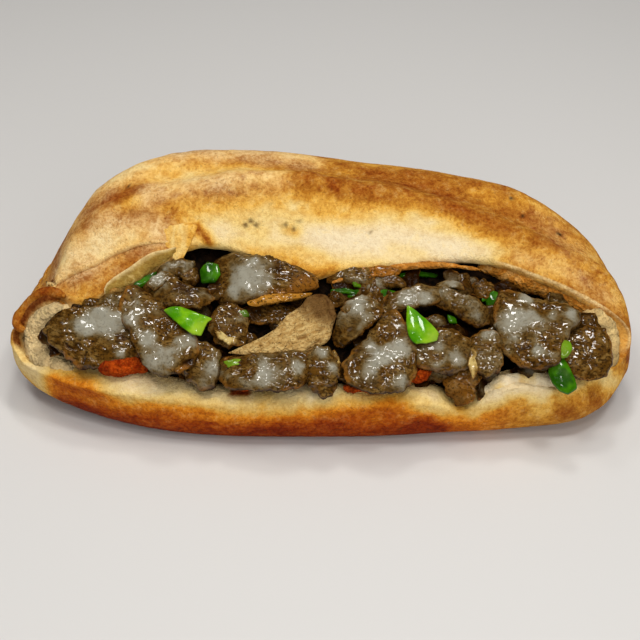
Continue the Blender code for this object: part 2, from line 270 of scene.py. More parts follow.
class Graph:
    """Nodes of one material."""

    def __init__(self, name: str) -> None:
        """Start an empty material with an output and a Principled shader."""
        self.material = bpy.data.materials.new(name)
        self.material.use_nodes = True
        self.tree = self.material.node_tree
        self.shader = self.tree.nodes["Principled BSDF"]

    def node(self, kind: str, output: Union[int, str], sockets: dict[Any, Any], **settings: Any) -> Socket:
        """Add any node.

        Args:
            kind: the node's type.
            output: the output that is wanted, by name or by index.
            sockets: a value or a Socket for each input, by name or by index.
            settings: its own settings, set first.

        Returns:
            The output.
        """
        made = self.tree.nodes.new(kind)
        for key, value in settings.items():
            setattr(made, key, value)
        for key, value in sockets.items():
            self.feed(made.inputs[key], value)
        return Socket(self, made.outputs[output])

    def feed(self, target: NodeSocket, value: Any) -> None:
        """Give an input a link, a number, a vector or a colour.

        Args:
            target: the input.
            value: what it gets.
        """
        if isinstance(value, Socket):
            self.tree.links.new(value.link, target)
        elif target.type == "RGBA":
            target.default_value = (*value[:3], 1.0)
        else:
            target.default_value = value

    def math(self, operation: str, one: Value, two: Value = 0.0) -> Socket:
        """Result of one Math node."""
        return self.node("ShaderNodeMath", 0, {0: one, 1: two}, operation=operation)

    def attribute(self, name: str, colour: bool = False) -> Socket:
        """Value or colour stored on the mesh's points."""
        return self.node("ShaderNodeAttribute", "Color" if colour else "Fac", {}, attribute_name=name)

    def place(self, stretch: Point = (1.0, 1.0, 1.0), turn: Point = (0.0, 0.0, 0.0)) -> Socket:
        """Object coordinates in millimetres, turned and then stretched.

        Args:
            stretch: how many times finer a pattern is along each axis.
            turn: rotation in radians.

        Returns:
            The vector.
        """
        source = self.node("ShaderNodeTexCoord", "Object", {})
        turned = self.node("ShaderNodeMapping", 0, {"Vector": source, "Rotation": turn})
        scale = tuple(s / MM for s in stretch)
        return self.node("ShaderNodeMapping", 0, {"Vector": turned, "Scale": scale})

    def grain(self, size: float, detail: float = 3.0, warp: float = 0.0, where: Any = None) -> Socket:
        """Noise texture.

        Args:
            size: width of a lump, millimetres.
            detail: how many finer layers.
            warp: distortion.
            where: coordinates in millimetres, the object's own when left out.

        Returns:
            Value from 0 to 1.
        """
        return self.node("ShaderNodeTexNoise", "Fac", {"Vector": where or self.place(), "Scale": 1.0 / size,
                                                       "Detail": detail, "Distortion": warp})

    def cells(self, size: float, feature: str = "F1") -> Socket:
        """Distance to the nearest of scattered points, in cell widths."""
        return self.node("ShaderNodeTexVoronoi", "Distance", {"Vector": self.place(), "Scale": 1.0 / size},
                         feature=feature)

    def mix(self, factor: Value, one: Paint, two: Paint, how: str = "MIX") -> Socket:
        """Blend of two colours."""
        return self.node("ShaderNodeMix", 2, {0: factor, 6: one, 7: two}, data_type="RGBA", blend_type=how)

    def stain(self, factor: Value, colour: Paint, by: Paint) -> Socket:
        """Colour darkened by another, as far as the factor says."""
        return self.mix(factor, colour, by, "MULTIPLY")

    def bump(self, height: Socket, depth: float, strength: float = 1.0) -> Socket:
        """Normal from a height in 0..1 that stands for depth millimetres."""
        return self.node("ShaderNodeBump", 0, {"Height": height, "Distance": depth * MM,
                                               "Strength": strength})

    def finish(self, sockets: dict[str, Any]) -> Material:
        """Set the shader's inputs.

        Args:
            sockets: a value or a Socket for each input of the shader.

        Returns:
            The finished material.
        """
        for key, value in sockets.items():
            self.feed(self.shader.inputs[key], value)
        return self.material


# ---- finishes


@dataclass(frozen=True)
class CrustFinish:
    """Baked dough: the colour comes with the mesh, the grain and the specks are added here."""

    name: str = "baked_crust"
    roughness: float = 0.62
    speck: Colour = (0.13, 0.04, 0.006)
    scorch: Colour = (0.66, 0.47, 0.24)
    bloom: Colour = (0.88, 0.66, 0.28)
    grit_shade: Colour = (0.7, 0.54, 0.34)
    fine_shade: Colour = (0.8, 0.66, 0.46)

    def material(self) -> Material:
        """Make the finish.

        Returns:
            The material.
        """
        g = Graph(self.name)
        tint = g.attribute("tint", colour=True)
        crumb = g.attribute("crumb")
        toast = g.attribute("toast")
        fine = g.grain(0.55, 3.0)
        grit = g.grain(1.1, 4.0)
        bubbles = g.grain(2.4, 3.0, 0.4)
        clouds = g.grain(6.0, 3.0, 0.8)
        uneven = bubbles * 0.62 + clouds * 0.38
        colour = g.stain(uneven.step(0.46, 0.62) * (0.2 + 0.8 * toast), tint, self.scorch)
        colour = g.mix(uneven.step(0.48, 0.36) * 0.34 * (1.0 - toast), colour, self.bloom)
        colour = g.stain(grit.step(0.44, 0.6) * (0.1 + 0.9 * toast), colour, self.grit_shade)
        colour = g.stain(fine.step(0.5, 0.66) * (0.12 + 0.3 * toast), colour, self.fine_shade)
        pores = g.grain(0.9, 1.0).step(0.62, 0.7) * (0.15 + 0.85 * toast)
        colour = g.mix(pores * 0.6, colour, self.speck)
        sponge = g.cells(1.3)
        height = fine * 0.24 + bubbles * 0.46 + grit * 0.3 + sponge * crumb * 0.8
        normal = g.bump(height, 1.4, 0.85)
        rough = self.roughness + 0.2 * g.grain(3.0, 2.0) + crumb * 0.2
        return g.finish({"Base Color": colour, "Roughness": rough, "Normal": normal, "IOR": 1.4,
                         "Specular IOR Level": 0.12})


@dataclass(frozen=True)
class SlabFinish:
    """Sliced steak, bare or under melted cheese, wet and shiny, with painted shade in its hollows."""

    name: str
    dark: Colour = (0.04, 0.018, 0.003)
    brown: Colour = (0.108, 0.047, 0.006)
    pale: Colour = (0.235, 0.135, 0.034)
    cheese: Colour = (0.295, 0.278, 0.217)
    thin_cheese: Colour = (0.135, 0.089, 0.03)
    browned: Colour = (0.4, 0.14, 0.012)
    fried: Colour = (0.27, 0.105, 0.014)
    # Painted shade colours: they darken the meat and the cheese where the mesh stores shade.
    meat_painted_shade: Colour = (0.24, 0.15, 0.08)
    cheese_painted_shade: Colour = (0.42, 0.33, 0.24)
    pore: Colour = (0.012, 0.006, 0.002)

    def material(self) -> Material:
        """Make the finish.

        Returns:
            The material.
        """
        g = Graph(self.name)
        cover = g.attribute("cover")
        browning_and_painted_light = g.attribute("browning_and_painted_light")
        painted_shade = g.attribute("painted_shade")
        fibre = g.grain(0.9, 3.0, 0.5, g.place((0.4, 1.0, 1.0), (0.0, 0.0, 0.35)))
        patch = g.grain(3.6, 2.0, 0.5)
        lumps = g.grain(1.5, 2.0, 0.4)
        meat = g.mix((fibre * 0.6 + lumps * 0.4).step(0.36, 0.6), self.dark, self.brown)
        meat = g.mix(patch.step(0.44, 0.62) * fibre.step(0.36, 0.6) * 0.6, meat, self.pale)
        # Painted shade on the meat, and below on the cheese, where the mesh stores shade.
        meat = g.stain(painted_shade, meat, self.meat_painted_shade)
        layer = cover + (patch - 0.5) * 0.9 + (fibre - 0.5) * 0.35
        skin = g.mix(layer.step(0.3, 1.15), self.thin_cheese, self.cheese)
        colour = g.mix(layer.step(0.04, 0.7), meat, skin)
        colour = g.stain(painted_shade * 0.7, colour, self.cheese_painted_shade)
        colour = g.mix(g.attribute("fried") * (0.2 + 0.9 * fibre), colour, self.fried)
        colour = g.mix(browning_and_painted_light * (0.35 + 0.9 * fibre), colour, self.browned)
        pores = g.grain(0.85, 2.0).step(0.55, 0.66) * (1.0 - 0.75 * cover)
        colour = g.mix(pores * 0.8, colour, self.pore)
        bare = 1.0 - 0.8 * cover
        height = (lumps * 0.4 + fibre * 0.35) * bare + g.grain(2.6, 1.0) * 0.25
        normal = g.bump(height, 0.6, 0.8)
        dry = g.grain(2.2, 2.0).step(0.42, 0.62)
        coat = (0.85 - 0.6 * dry * bare) * (1.0 - painted_shade)
        return g.finish({"Base Color": colour, "Roughness": 0.22, "Normal": normal, "IOR": 1.42,
                         "Specular IOR Level": 0.06, "Coat Weight": coat, "Coat Roughness": 0.04})


@dataclass(frozen=True)
class PepperFinish:
    """Cooked green pepper: glossy skin, with a painted lit side and painted shade."""

    name: str
    skin: Colour
    flesh: Colour
    lit: Colour = (0.36, 0.52, 0.03)
    shade: Colour = (0.4, 0.5, 0.2)
    film: Colour = (0.3, 0.28, 0.17)

    def material(self) -> Material:
        """Make the finish.

        Returns:
            The material.
        """
        g = Graph(self.name)
        colour = g.mix(g.grain(5.0, 2.0).step(0.35, 0.65), self.skin, self.flesh)
        # Painted light: the lit side of the piece is lighter and yellower.
        colour = g.mix(g.attribute("browning_and_painted_light") * 0.8, colour, self.lit)
        # Painted shade where the mesh stores it.
        colour = g.stain(g.attribute("painted_shade"), colour, self.shade)
        colour = g.mix(g.attribute("cover") * 0.6, colour, self.film)
        normal = g.bump(g.grain(1.6, 1.0), 0.35, 0.8)
        return g.finish({"Base Color": colour, "Roughness": 0.22, "Normal": normal, "IOR": 1.42,
                         "Specular IOR Level": 0.08, "Coat Weight": 0.5, "Coat Roughness": 0.05})


@dataclass(frozen=True)
class SliceFinish:
    """Dry toasted slice: tan, crumbly, browned at one end, where the brown is partly painted shade, and
    with painted shade in its hollows.
    """

    name: str = "toasted_slice"
    tan: Colour = (0.37, 0.21, 0.06)
    light: Colour = (0.58, 0.4, 0.155)
    brown: Colour = (0.105, 0.045, 0.009)
    shade: Colour = (0.45, 0.33, 0.22)

    def material(self) -> Material:
        """Make the finish.

        Returns:
            The material.
        """
        g = Graph(self.name)
        browning_and_painted_light = g.attribute("browning_and_painted_light")
        streak = g.grain(1.2, 4.0, 0.6, g.place((0.35, 1.0, 1.0), (0.0, 0.0, -0.45)))
        colour = g.mix(streak.step(0.35, 0.68), self.tan, self.light)
        # The brown end is partly real browning and partly painted shade.
        colour = g.mix(browning_and_painted_light * (0.7 + 0.4 * streak), colour, self.brown)
        pits = g.grain(0.7, 2.0).step(0.6, 0.7)
        colour = g.mix(pits * 0.7, colour, self.brown)
        # Painted shade where the mesh stores it.
        colour = g.stain(g.attribute("painted_shade"), colour, self.shade)
        cracks = g.cells(2.6, "DISTANCE_TO_EDGE").step(0.0, 0.16)
        normal = g.bump(cracks * 0.35 + streak * 0.7 + pits * 0.2, 0.8, 0.9)
        return g.finish({"Base Color": colour, "Roughness": 0.62, "Normal": normal,
                         "Specular IOR Level": 0.08})


@dataclass(frozen=True)
class PaintedShadeCoreFinish:
    """Chopped filling deep in the pocket, painted nearly black as the shade there."""

    name: str = "filling_core"
    # Near-black colours: painted shade.
    dark: Colour = (0.002, 0.001, 0.0005)
    brown: Colour = (0.012, 0.005, 0.0015)

    def material(self) -> Material:
        """Make the finish.

        Returns:
            The material.
        """
        g = Graph(self.name)
        lumps = g.grain(2.4, 4.0, 0.6)
        colour = g.mix(lumps.step(0.4, 0.72), self.dark, self.brown)
        normal = g.bump(lumps, 1.4, 0.9)
        return g.finish({"Base Color": colour, "Roughness": 0.65, "Normal": normal,
                         "Specular IOR Level": 0.04})


@dataclass(frozen=True)
class FloorFinish:
    """Plain pale studio floor."""

    name: str = "studio_floor"
    colour: Colour = (0.645, 0.636, 0.624)

    def material(self) -> Material:
        """Plain matt paint."""
        return Graph(self.name).finish({"Base Color": self.colour, "Roughness": 0.7})


# ---- meshes


@dataclass
class Ringed:
    """Closed body whose points lie on rings between two poles, with values stored on them."""

    name: str
    rings: Array
    first: Array
    last: Array
    fields: dict[str, Array] = field(default_factory=dict)

    def build(self, material: Material) -> Object:
        """Make and dress the body.

        Args:
            material: its finish.

        Returns:
            The object, at the origin, with its place in its mesh.
        """
        mesh, values = self.mesh()
        for name, found in values.items():
            store(mesh, name, found)
        return dressed(self.name, mesh, material)

    def mesh(self) -> tuple[Mesh, dict[str, Array]]:
        """Shape a closed tube into the body.

        Returns:
            The mesh, and the values at its points.
        """
        levels, spokes = self.rings.shape[:2]
        mesh = tube_mesh(self.name, levels, spokes)
        tube = np.zeros(len(mesh.vertices) * 3, np.float32)
        mesh.vertices.foreach_get("co", tube)
        tube = tube.reshape(-1, 3).astype(float)
        level = np.rint(tube[:, 2]).astype(int)
        spoke = np.rint(np.arctan2(tube[:, 1], tube[:, 0]) / (2 * math.pi) * spokes).astype(int) % spokes
        pole = np.hypot(tube[:, 0], tube[:, 1]) < 0.5
        places = self.rings[level, spoke]
        places[pole & (level == 0)] = self.first
        places[pole & (level > 0)] = self.last
        mesh.vertices.foreach_set("co", ((places + CENTRING) * MM).astype(np.float32).ravel())
        return mesh, {name: values[level, spoke] for name, values in self.fields.items()}


def capped(name: str, rings: Array, fields: dict[str, Array]) -> Ringed:
    """Body whose poles lie in the middle of its first and last rings."""
    return Ringed(name, rings, rings[0].mean(axis=0), rings[-1].mean(axis=0), fields)


def joined(name: str, bodies: list[Ringed], material: Material) -> Object:
    """Many small bodies as one piece.

    Args:
        name: the piece's name.
        bodies: the bodies.
        material: their finish.

    Returns:
        The object.
    """
    bm = bmesh.new()
    values: dict[str, list[Array]] = {}
    for body in bodies:
        part, found = body.mesh()
        if signed_volume(part) < 0.0:
            part.flip_normals()
        bm.from_mesh(part)
        for key, value in found.items():
            values.setdefault(key, []).append(value)
        bpy.data.meshes.remove(part)
    mesh = bpy.data.meshes.new(name)
    bm.to_mesh(mesh)
    bm.free()
    for key, parts in values.items():
        store(mesh, key, np.concatenate(parts))
    made = dressed(name, mesh, material)
    return made


def signed_volume(mesh: Mesh) -> float:
    """Volume of a closed mesh, negative where it is inside out."""
    bm = bmesh.new()
    bm.from_mesh(mesh)
    volume = bm.calc_volume(signed=True)
    bm.free()
    return volume


def tube_mesh(name: str, levels: int, spokes: int) -> Mesh:
    """Closed tube of unit radius, one unit high for each level, with a pole in each end.

    Args:
        name: the mesh's name.
        levels: rings along it.
        spokes: points of a ring.

    Returns:
        The mesh.
    """
    bm = bmesh.new()
    bmesh.ops.create_grid(bm, x_segments=spokes, y_segments=levels - 1, size=0.5)
    for vert in bm.verts:
        angle = vert.co.x * 2.0 * math.pi
        vert.co = (math.cos(angle), math.sin(angle), round((vert.co.y + 0.5) * (levels - 1)))
    bmesh.ops.remove_doubles(bm, verts=bm.verts, dist=0.0001)
    rims = [edge for edge in bm.edges if edge.is_boundary]
    for low in (True, False):
        edges = [edge for edge in rims if (edge.verts[0].co.z < 0.5) == low]
        lid = bmesh.ops.contextual_create(bm, geom=edges)["faces"]
        bmesh.ops.poke(bm, faces=lid)
    bmesh.ops.recalc_face_normals(bm, faces=bm.faces)
    mesh = bpy.data.meshes.new(name)
    bm.to_mesh(mesh)
    bm.free()
    return mesh


def store(mesh: Mesh, name: str, values: Array) -> None:
    """Keep one value or colour for each point of a mesh.

    Args:
        mesh: the mesh.
        name: the attribute's name.
        values: one number, or three of a colour, for each point.
    """
    if values.ndim == 1:
        made = mesh.attributes.new(name, "FLOAT", "POINT")
        made.data.foreach_set("value", values.astype(np.float32))
        return
    rgba = np.concatenate([values, np.ones((len(values), 1))], axis=1)
    made = mesh.attributes.new(name, "FLOAT_COLOR", "POINT")
    made.data.foreach_set("color", rgba.astype(np.float32).ravel())


def linked(name: str, data: bpy.types.ID) -> Object:
    """New object of a mesh, a lamp or a camera, in the scene."""
    made = bpy.data.objects.new(name, data)
    bpy.context.scene.collection.objects.link(made)
    return made


def dressed(name: str, mesh: Mesh, material: Material) -> Object:
    """Object of a closed mesh, smooth, facing outwards and riding on the root body.

    Args:
        name: the object's name.
        mesh: its mesh, in the row frame.
        material: its finish.

    Returns:
        The object.
    """
    mesh.update()
    bm = bmesh.new()
    bm.from_mesh(mesh)
    if bm.calc_volume(signed=True) < 0.0:
        bmesh.ops.reverse_faces(bm, faces=bm.faces)
    for face in bm.faces:
        face.smooth = True
    bm.to_mesh(mesh)
    bm.free()
    mesh.materials.append(material)
    made = linked(name, mesh)
    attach(made, "root")
    LOG.info("%s: %d faces", name, len(mesh.polygons))
    return made


def grid_normals(grid: Array) -> Array:
    """Outward unit normals of a grid of rings round a body."""
    along = np.roll(grid, -1, axis=1) - np.roll(grid, 1, axis=1)
    return unit(np.cross(along, np.gradient(grid, axis=0)), 1e-9)


# ---- the loaf


@dataclass(frozen=True)
class Mouth:
    """Edge of the mouth: directions to it, what brings the skin to it, and the dough's thickness."""

    ends: Array
    shift: Array
    thick: Array


@dataclass(frozen=True)
class Loaf:
    """Form of the folded pocket, with the same sizes as the solids."""

    half_length: float = 118.0
    end_power: float = 2.9
    spine_y: float = -35.0
    front_depth: float = 35.5
    front_power: float = 2.2
    front_skew: float = -4.5
    back_depth: float = 96.0
    back_power: float = 2.3
    waist_z: float = 24.0
    dome_rise: float = 49.0
    dome_left_power: float = 2.7
    dome_right_power: float = 3.2
    dome_lean: float = 0.29
    dome_left_set: float = 16.0
    dome_power: float = 2.0
    front_drop: float = 20.0
    belly_drop: float = 31.0
    belly_power: float = 3.6
    top_wall: float = 5.0
    back_wall: float = 7.0
    front_wall: float = 12.0
    flap_wall: float = 3.0
    rim_lip: float = 12.0
    rim_flap: float = 5.0
    end_wall: float = 7.0
    floor_wall: float = 7.0
    mouth_pitch: float = 23.0
    lip_notch_x: float = 52.0
    lip_notch_depth: float = 6.0
    lip_notch_width: float = 7.5
    lip_rise_x: float = 74.0
    lip_rise: float = 5.4
    lip_rise_width: float = 13.0
    search_steps: int = 6
    furthest: float = 0.985
    front_swells: Bells = ((3.4, -0.5, 0.36), (-1.6, 0.4, 0.2), (3.6, 0.84, 0.14))
    dome_swells: Bells = ((3.2, 0.68, 0.2), (-1.6, 0.16, 0.2), (1.4, -0.6, 0.18))
    crests: Bells = ((1.6, -2.0, 10.0), (-2.4, 13.0, 8.0), (1.6, 27.0, 9.0))
    mouth_stations: Path = (
        (-116, -37, 26), (-110, -47, 23), (-99, -54, 22), (-82, -61, 22), (-55, -66, 21),
        (-20, -69, 20), (15, -69, 20), (40, -68, 21), (62, -66, 22), (85, -63, 21),
        (102, -55, 22), (113, -46, 24), (117, -38, 29), (112, -35, 36), (101, -30, 42),
        (84, -25, 48), (64, -19, 52), (45, -20, 53), (30, -22, 53), (9, -24, 52),
        (-4, -26, 51), (-17, -24, 52), (-28, -19, 55), (-38, -16, 57), (-48, -16, 57),
        (-58, -21, 54), (-70, -28, 49), (-79, -32, 47), (-88, -34, 44), (-98, -30, 44),
        (-108, -30, 39), (-114, -34, 32),
    )

    def section(self, turn: Array) -> tuple[Array, Array]:
        """Front-to-back and up-down factors of the section at an angle."""
        power = np.where(np.sin(turn) >= 0.0, self.dome_power, self.belly_power)
        c, s = np.cos(turn), np.sin(turn)
        size = (np.abs(c) ** power + np.abs(s) ** power) ** (1.0 / power)
        return c / size, np.abs(s) / size

    def depths(self, u: Array) -> tuple[Array, Array]:
        """Front and back edges at station u."""
        front = self.spine_y - self.front_depth * arc(u, self.front_power) + self.front_skew * u
        front = front - humps(u, self.front_swells)
        back = self.spine_y + self.back_depth * arc(u, self.back_power)
        return front, np.maximum(back, front + 2.0)

    def dome_height(self, u: Array) -> Array:
        """Rise of the dome above the waist at station u."""
        power = np.where(u < 0.0, self.dome_left_power, self.dome_right_power)
        rise = self.dome_rise * arc(u, power) * (1.0 - self.dome_lean * u)
        return rise + humps(u, self.dome_swells)

    def ridges(self, x: Array, y: Array) -> Array:
        """Two rounded crests along the dome and the shallow valley between them."""
        line = 4.0 - 26.0 * (np.abs(x + 5.0) / 105.0) ** 1.4
        return humps(y, self.crests, line)

    def skin(self, direction: Array, wall: float) -> Array:
        """Points of the loaf's skin.

        Args:
            direction: unit vectors from the middle of the loaf.
            wall: 0 for the crust, 1 for the wall of the cavity.

        Returns:
            One point for each direction.
        """
        x, y, z = direction.T
        across = np.hypot(y, z)
        size = (np.abs(x) ** self.end_power + across ** self.end_power) ** (1.0 / self.end_power)
        u = x / size
        v, s = self.section(np.arctan2(z, y))
        front, back = self.depths(u)
        py = 0.5 * (front + back) + 0.5 * v * (back - front)
        px = self.half_length * u + self.dome_left_set * s * np.where(z > 0, u * u * (u < 0), 0.0)
        belt = s * arc(u, 2.0)
        dome = self.waist_z + (self.dome_height(u) - self.top_wall * wall) * s
        dome = dome - self.front_drop * belt * (1.0 - smooth(-40.0, 14.0, py))
        dome = dome + self.ridges(px, py) * belt * s
        front_wall = self.front_wall + (self.flap_wall - self.front_wall) * np.where(z > 0.0, s, 0.0)
        py = py + wall * (0.5 * (1.0 - v) * front_wall - 0.5 * (1.0 + v) * self.back_wall)
        px = px - wall * self.end_wall * u
        belly = np.maximum(self.floor_wall * wall, self.waist_z - self.belly_drop * s * arc(u, 3.0))
        return np.stack([px, py, np.where(z >= 0.0, dome, belly)], axis=-1)

    def direction_to(self, target: Array) -> Array:
        """Unit directions whose skin points lie nearest some targets.

        Args:
            target: places near the skin.

        Returns:
            One direction for each.
        """
        x, y, z = target.T
        u = x / self.half_length
        for _ in range(self.search_steps):
            u = np.clip(u, -self.furthest, self.furthest)
            front, back = self.depths(u)
            v = (y - 0.5 * (front + back)) / (0.5 * (back - front))
            rise = np.where(z >= self.waist_z, self.dome_height(u), self.belly_drop * arc(u, 3.0))
            turn = np.arctan2((z - self.waist_z) / rise, v)
            set_in = self.dome_left_set * self.section(turn)[1] * u * u * (u < 0.0) * (z > self.waist_z)
            u = (x - set_in) / self.half_length
        u = np.clip(u, -self.furthest, self.furthest)
        across = arc(u, self.end_power)
        return unit(np.stack([u, across * np.cos(turn), across * np.sin(turn)], axis=-1))

    def mouth(self, count: int) -> Mouth:
        """Edge of the mouth, without the notch in its lower lip.

        Args:
            count: how many points it has.

        Returns:
            The edge, with a fat lower lip and a thin upper flap.
        """
        edge = spline(np.array(self.mouth_stations), count, True)
        ends = self.direction_to(edge)
        thick = self.rim_flap + (self.rim_lip - self.rim_flap) * smooth(-38.0, -58.0, edge[:, 1])
        return Mouth(ends, edge - self.skin(ends, 0.0), thick)

    def notched(self, points: Array) -> Array:
        """Points with the notch pressed into the lower lip, and the rise beside it.

        Args:
            points: places on the bread or the core.

        Returns:
            The places after both.
        """
        x, y, z = points[..., 0], points[..., 1], points[..., 2]
        lower = smooth(-44.0, -50.0, y) * smooth(9.0, 20.0, z)
        dent = self.lip_notch_depth * hump(x, self.lip_notch_x, self.lip_notch_width) * lower
        dent = dent - self.lip_rise * hump(x, self.lip_rise_x, self.lip_rise_width) * lower
        return points - dent[..., None] * np.array([0.0, 0.0, 1.0])

    def pole(self) -> Array:
        """Direction of the back of the pocket, opposite the mouth."""
        pitch = math.radians(self.mouth_pitch)
        return np.array([0.0, math.cos(pitch), -math.sin(pitch)])

    def ring(self, f: float, mouth: Mouth, wall: float) -> Array:
        """Ring of skin points a fraction f of the way from the back to the mouth.

        Args:
            f: 0 at the back, 1 at the mouth.
            mouth: the mouth's edge.
            wall: 0 for the crust, 1 for the wall of the cavity.

        Returns:
            The ring's points.
        """
        start = self.pole()
        angle = np.arccos(np.clip(mouth.ends @ start, -1.0, 1.0))[:, None]
        turned = (np.sin((1.0 - f) * angle) * start + np.sin(f * angle) * mouth.ends) / np.sin(angle)
        return self.skin(turned, wall) + smooth(0.62, 1.0, f) * mouth.shift

    def cavity_ring(self, f: float, mouth: Mouth) -> Array:
        """Ring of the cavity's wall.

        Args:
            f: 0 at the back, 1 at the mouth.
            mouth: the mouth's edge.

        Returns:
            The ring's points.
        """
        outer = self.ring(f, mouth, 0.0)
        along = np.roll(outer, -1, axis=0) - np.roll(outer, 1, axis=0)
        ahead = self.ring(min(f + 0.01, 1.0), mouth, 0.0) - self.ring(f - 0.01, mouth, 0.0)
        near_mouth = outer - unit(np.cross(along, ahead)) * mouth.thick[:, None]
        return blend(self.ring(f, mouth, 1.0), near_mouth, smooth(0.66, 0.94, f))


@dataclass(frozen=True)
class Mark:
    """One baked mark on the dough: a line or a round spot, with the toasting and relief it brings."""

    path: Path
    width: float
    toast: float
    weight: float = 1.0
    lift: float = 0.0
    ragged: float = 0.35

    def strength(self, points: Array, ragged: Array) -> Array:
        """How much of the mark lies on each point.

        Args:
            points: places on the dough.
            ragged: random field that frays its border.

        Returns:
            Values from 0 to 1.
        """
        away = line_distance(points, np.array(self.path, dtype=float))
        spread = self.width * np.maximum(1.0 + self.ragged * ragged, 0.2)
        return np.exp(-((away / spread) ** 2))


FRONT_CREST = (
    (-82, -9, 62), (-65, -2, 68), (-54, 2, 70), (-38, 2, 72), (-19, 3, 73), (-6, 5, 72), (13, 2, 68),
    (32, 0, 66), (51, -3, 63), (63, -8, 60), (76, -11, 56), (95, -16, 49), (108, -18, 42)
)
BACK_CREST = (
    (-98, 3, 49), (-85, 10, 63), (-73, 15, 69), (-59, 21, 71), (-31, 24, 71), (-8, 25, 68), (31, 20, 65),
    (62, 14, 63), (85, 4, 57), (98, -4, 49), (107, -16, 43)
)
VALLEY = (
    (-59, 6, 69), (-46, 10, 71), (-34, 12, 73), (-13, 11, 73), (13, 12, 67), (39, 8, 65), (69, 0, 60),
    (92, -10, 51)
)
FLAP = (
    (-40, -13, 59), (-23, -13, 60), (-4, -14, 58), (11, -15, 57), (30, -15, 57), (45, -17, 55),
    (62, -18, 53)
)
STEP_LINE = (
    (-106, -28, 38), (-100, -26, 42), (-93, -25, 47), (-85, -23, 50), (-80, -21, 52), (-74, -19, 54),
    (-68, -18, 56), (-63, -17, 56), (-55, -17, 57)
)
LEFT_ROLL = (
    (-110, -37, 31), (-112, -36, 30), (-114, -34, 31.5), (-113.5, -31, 34), (-110.3, -29, 37),
    (-105.8, -29, 40.5), (-100, -30, 43), (-93.7, -33, 43.7)
)
LEFT_CRUMB = (
    (-90.2, -36.6, 37.9), (-93.6, -35.5, 38.1), (-97, -35.1, 38), (-100.2, -34.9, 36.5),
    (-103.6, -35.3, 34.1), (-105.9, -36.2, 31), (-106.8, -38.5, 26.9), (-105.2, -41.9, 24.1),
    (-101.4, -45.6, 23), (-95.7, -48.7, 23.7), (-90.2, -50.5, 22.1)
)
RIGHT_CRUMB = (
    (97.7, -34.8, 37.3), (103.3, -36.8, 36), (105.8, -38, 33.7), (107.7, -39.7, 30.8),
    (108.1, -42.3, 28.3), (106.5, -45.7, 26.2), (103.7, -48.5, 24.8), (99.4, -50.8, 24.5)
)
INNER_WALL = (
    (60, -17, 46.5), (68, -18.5, 45), (79, -21.5, 42.5), (90, -25, 39.5), (100, -29, 35.5), (107, -33, 31.5)
)
LIP_SWELL = (
    (58, -62, 21.5), (64, -61, 24), (71, -60, 25.5), (78, -59.5, 25.5), (85, -58, 23.5), (91, -56.5, 21.5)
)
SEARED = (
    (((-81.1, -56.8, 29.7), (-76.4, -57.1, 29.5), (-71.7, -56.8, 29.7),
      (-66.9, -56.5, 29.9), (-62.5, -57.5, 29.3)), 3.1),
    (((-33.1, -64.7, 27.4), (-28.8, -65, 27.2), (-24.1, -64.7, 27.4)), 1.5),
    (((8.6, -65.3, 27), (14.4, -65.7, 26.8), (20.5, -65, 27.2)), 1.3),
    (((32.2, -61.3, 28.3), (35.8, -60.3, 28.9), (40.3, -58.3, 30)), 2.4),
)
FLAP_UNDERSIDE = (
    (4.5, -28.8, 47), (8.6, -27.4, 47.8), (13.4, -26, 48.6), (18.7, -24.6, 49.5), (25.4, -23.6, 50.1),
    (33.7, -22.9, 50.5), (44.2, -22.5, 50.7), (53.1, -23.2, 50.3), (59.8, -24.3, 49.7)
)
LOBE_LINE = (
    (-80, -33, 45), (-79, -30, 48), (-76, -27, 49), (-71, -24, 51), (-66, -21, 53), (-62, -20, 55),
    (-58, -19, 55), (-53, -18, 56)
)
PLEAT = ((-5, 9), (4, 8), (8, 6), (6, -1), (2, -9), (-1, -8), (-4, -3))
HERBS = (
    (42, 9, 65), (74, 9, 61), (74, 7, 61), (75, -1, 59), (78, 0, 58), (92, -4, 52), (-54, 23, 71),
    (-73, 4, 68), (-101, -4, 45), (96, -2, 49), (60, 4, 63), (88, -8, 54), (-84, 2, 62), (-80, 6, 64)
)
FLAP_SPECKS = (
    (-8, -9, 61), (-28, -11, 61), (-26, -10, 62), (-13, -11, 61), (19, -12, 58), (-24, -11, 61),
    (-10, -12, 60)
)


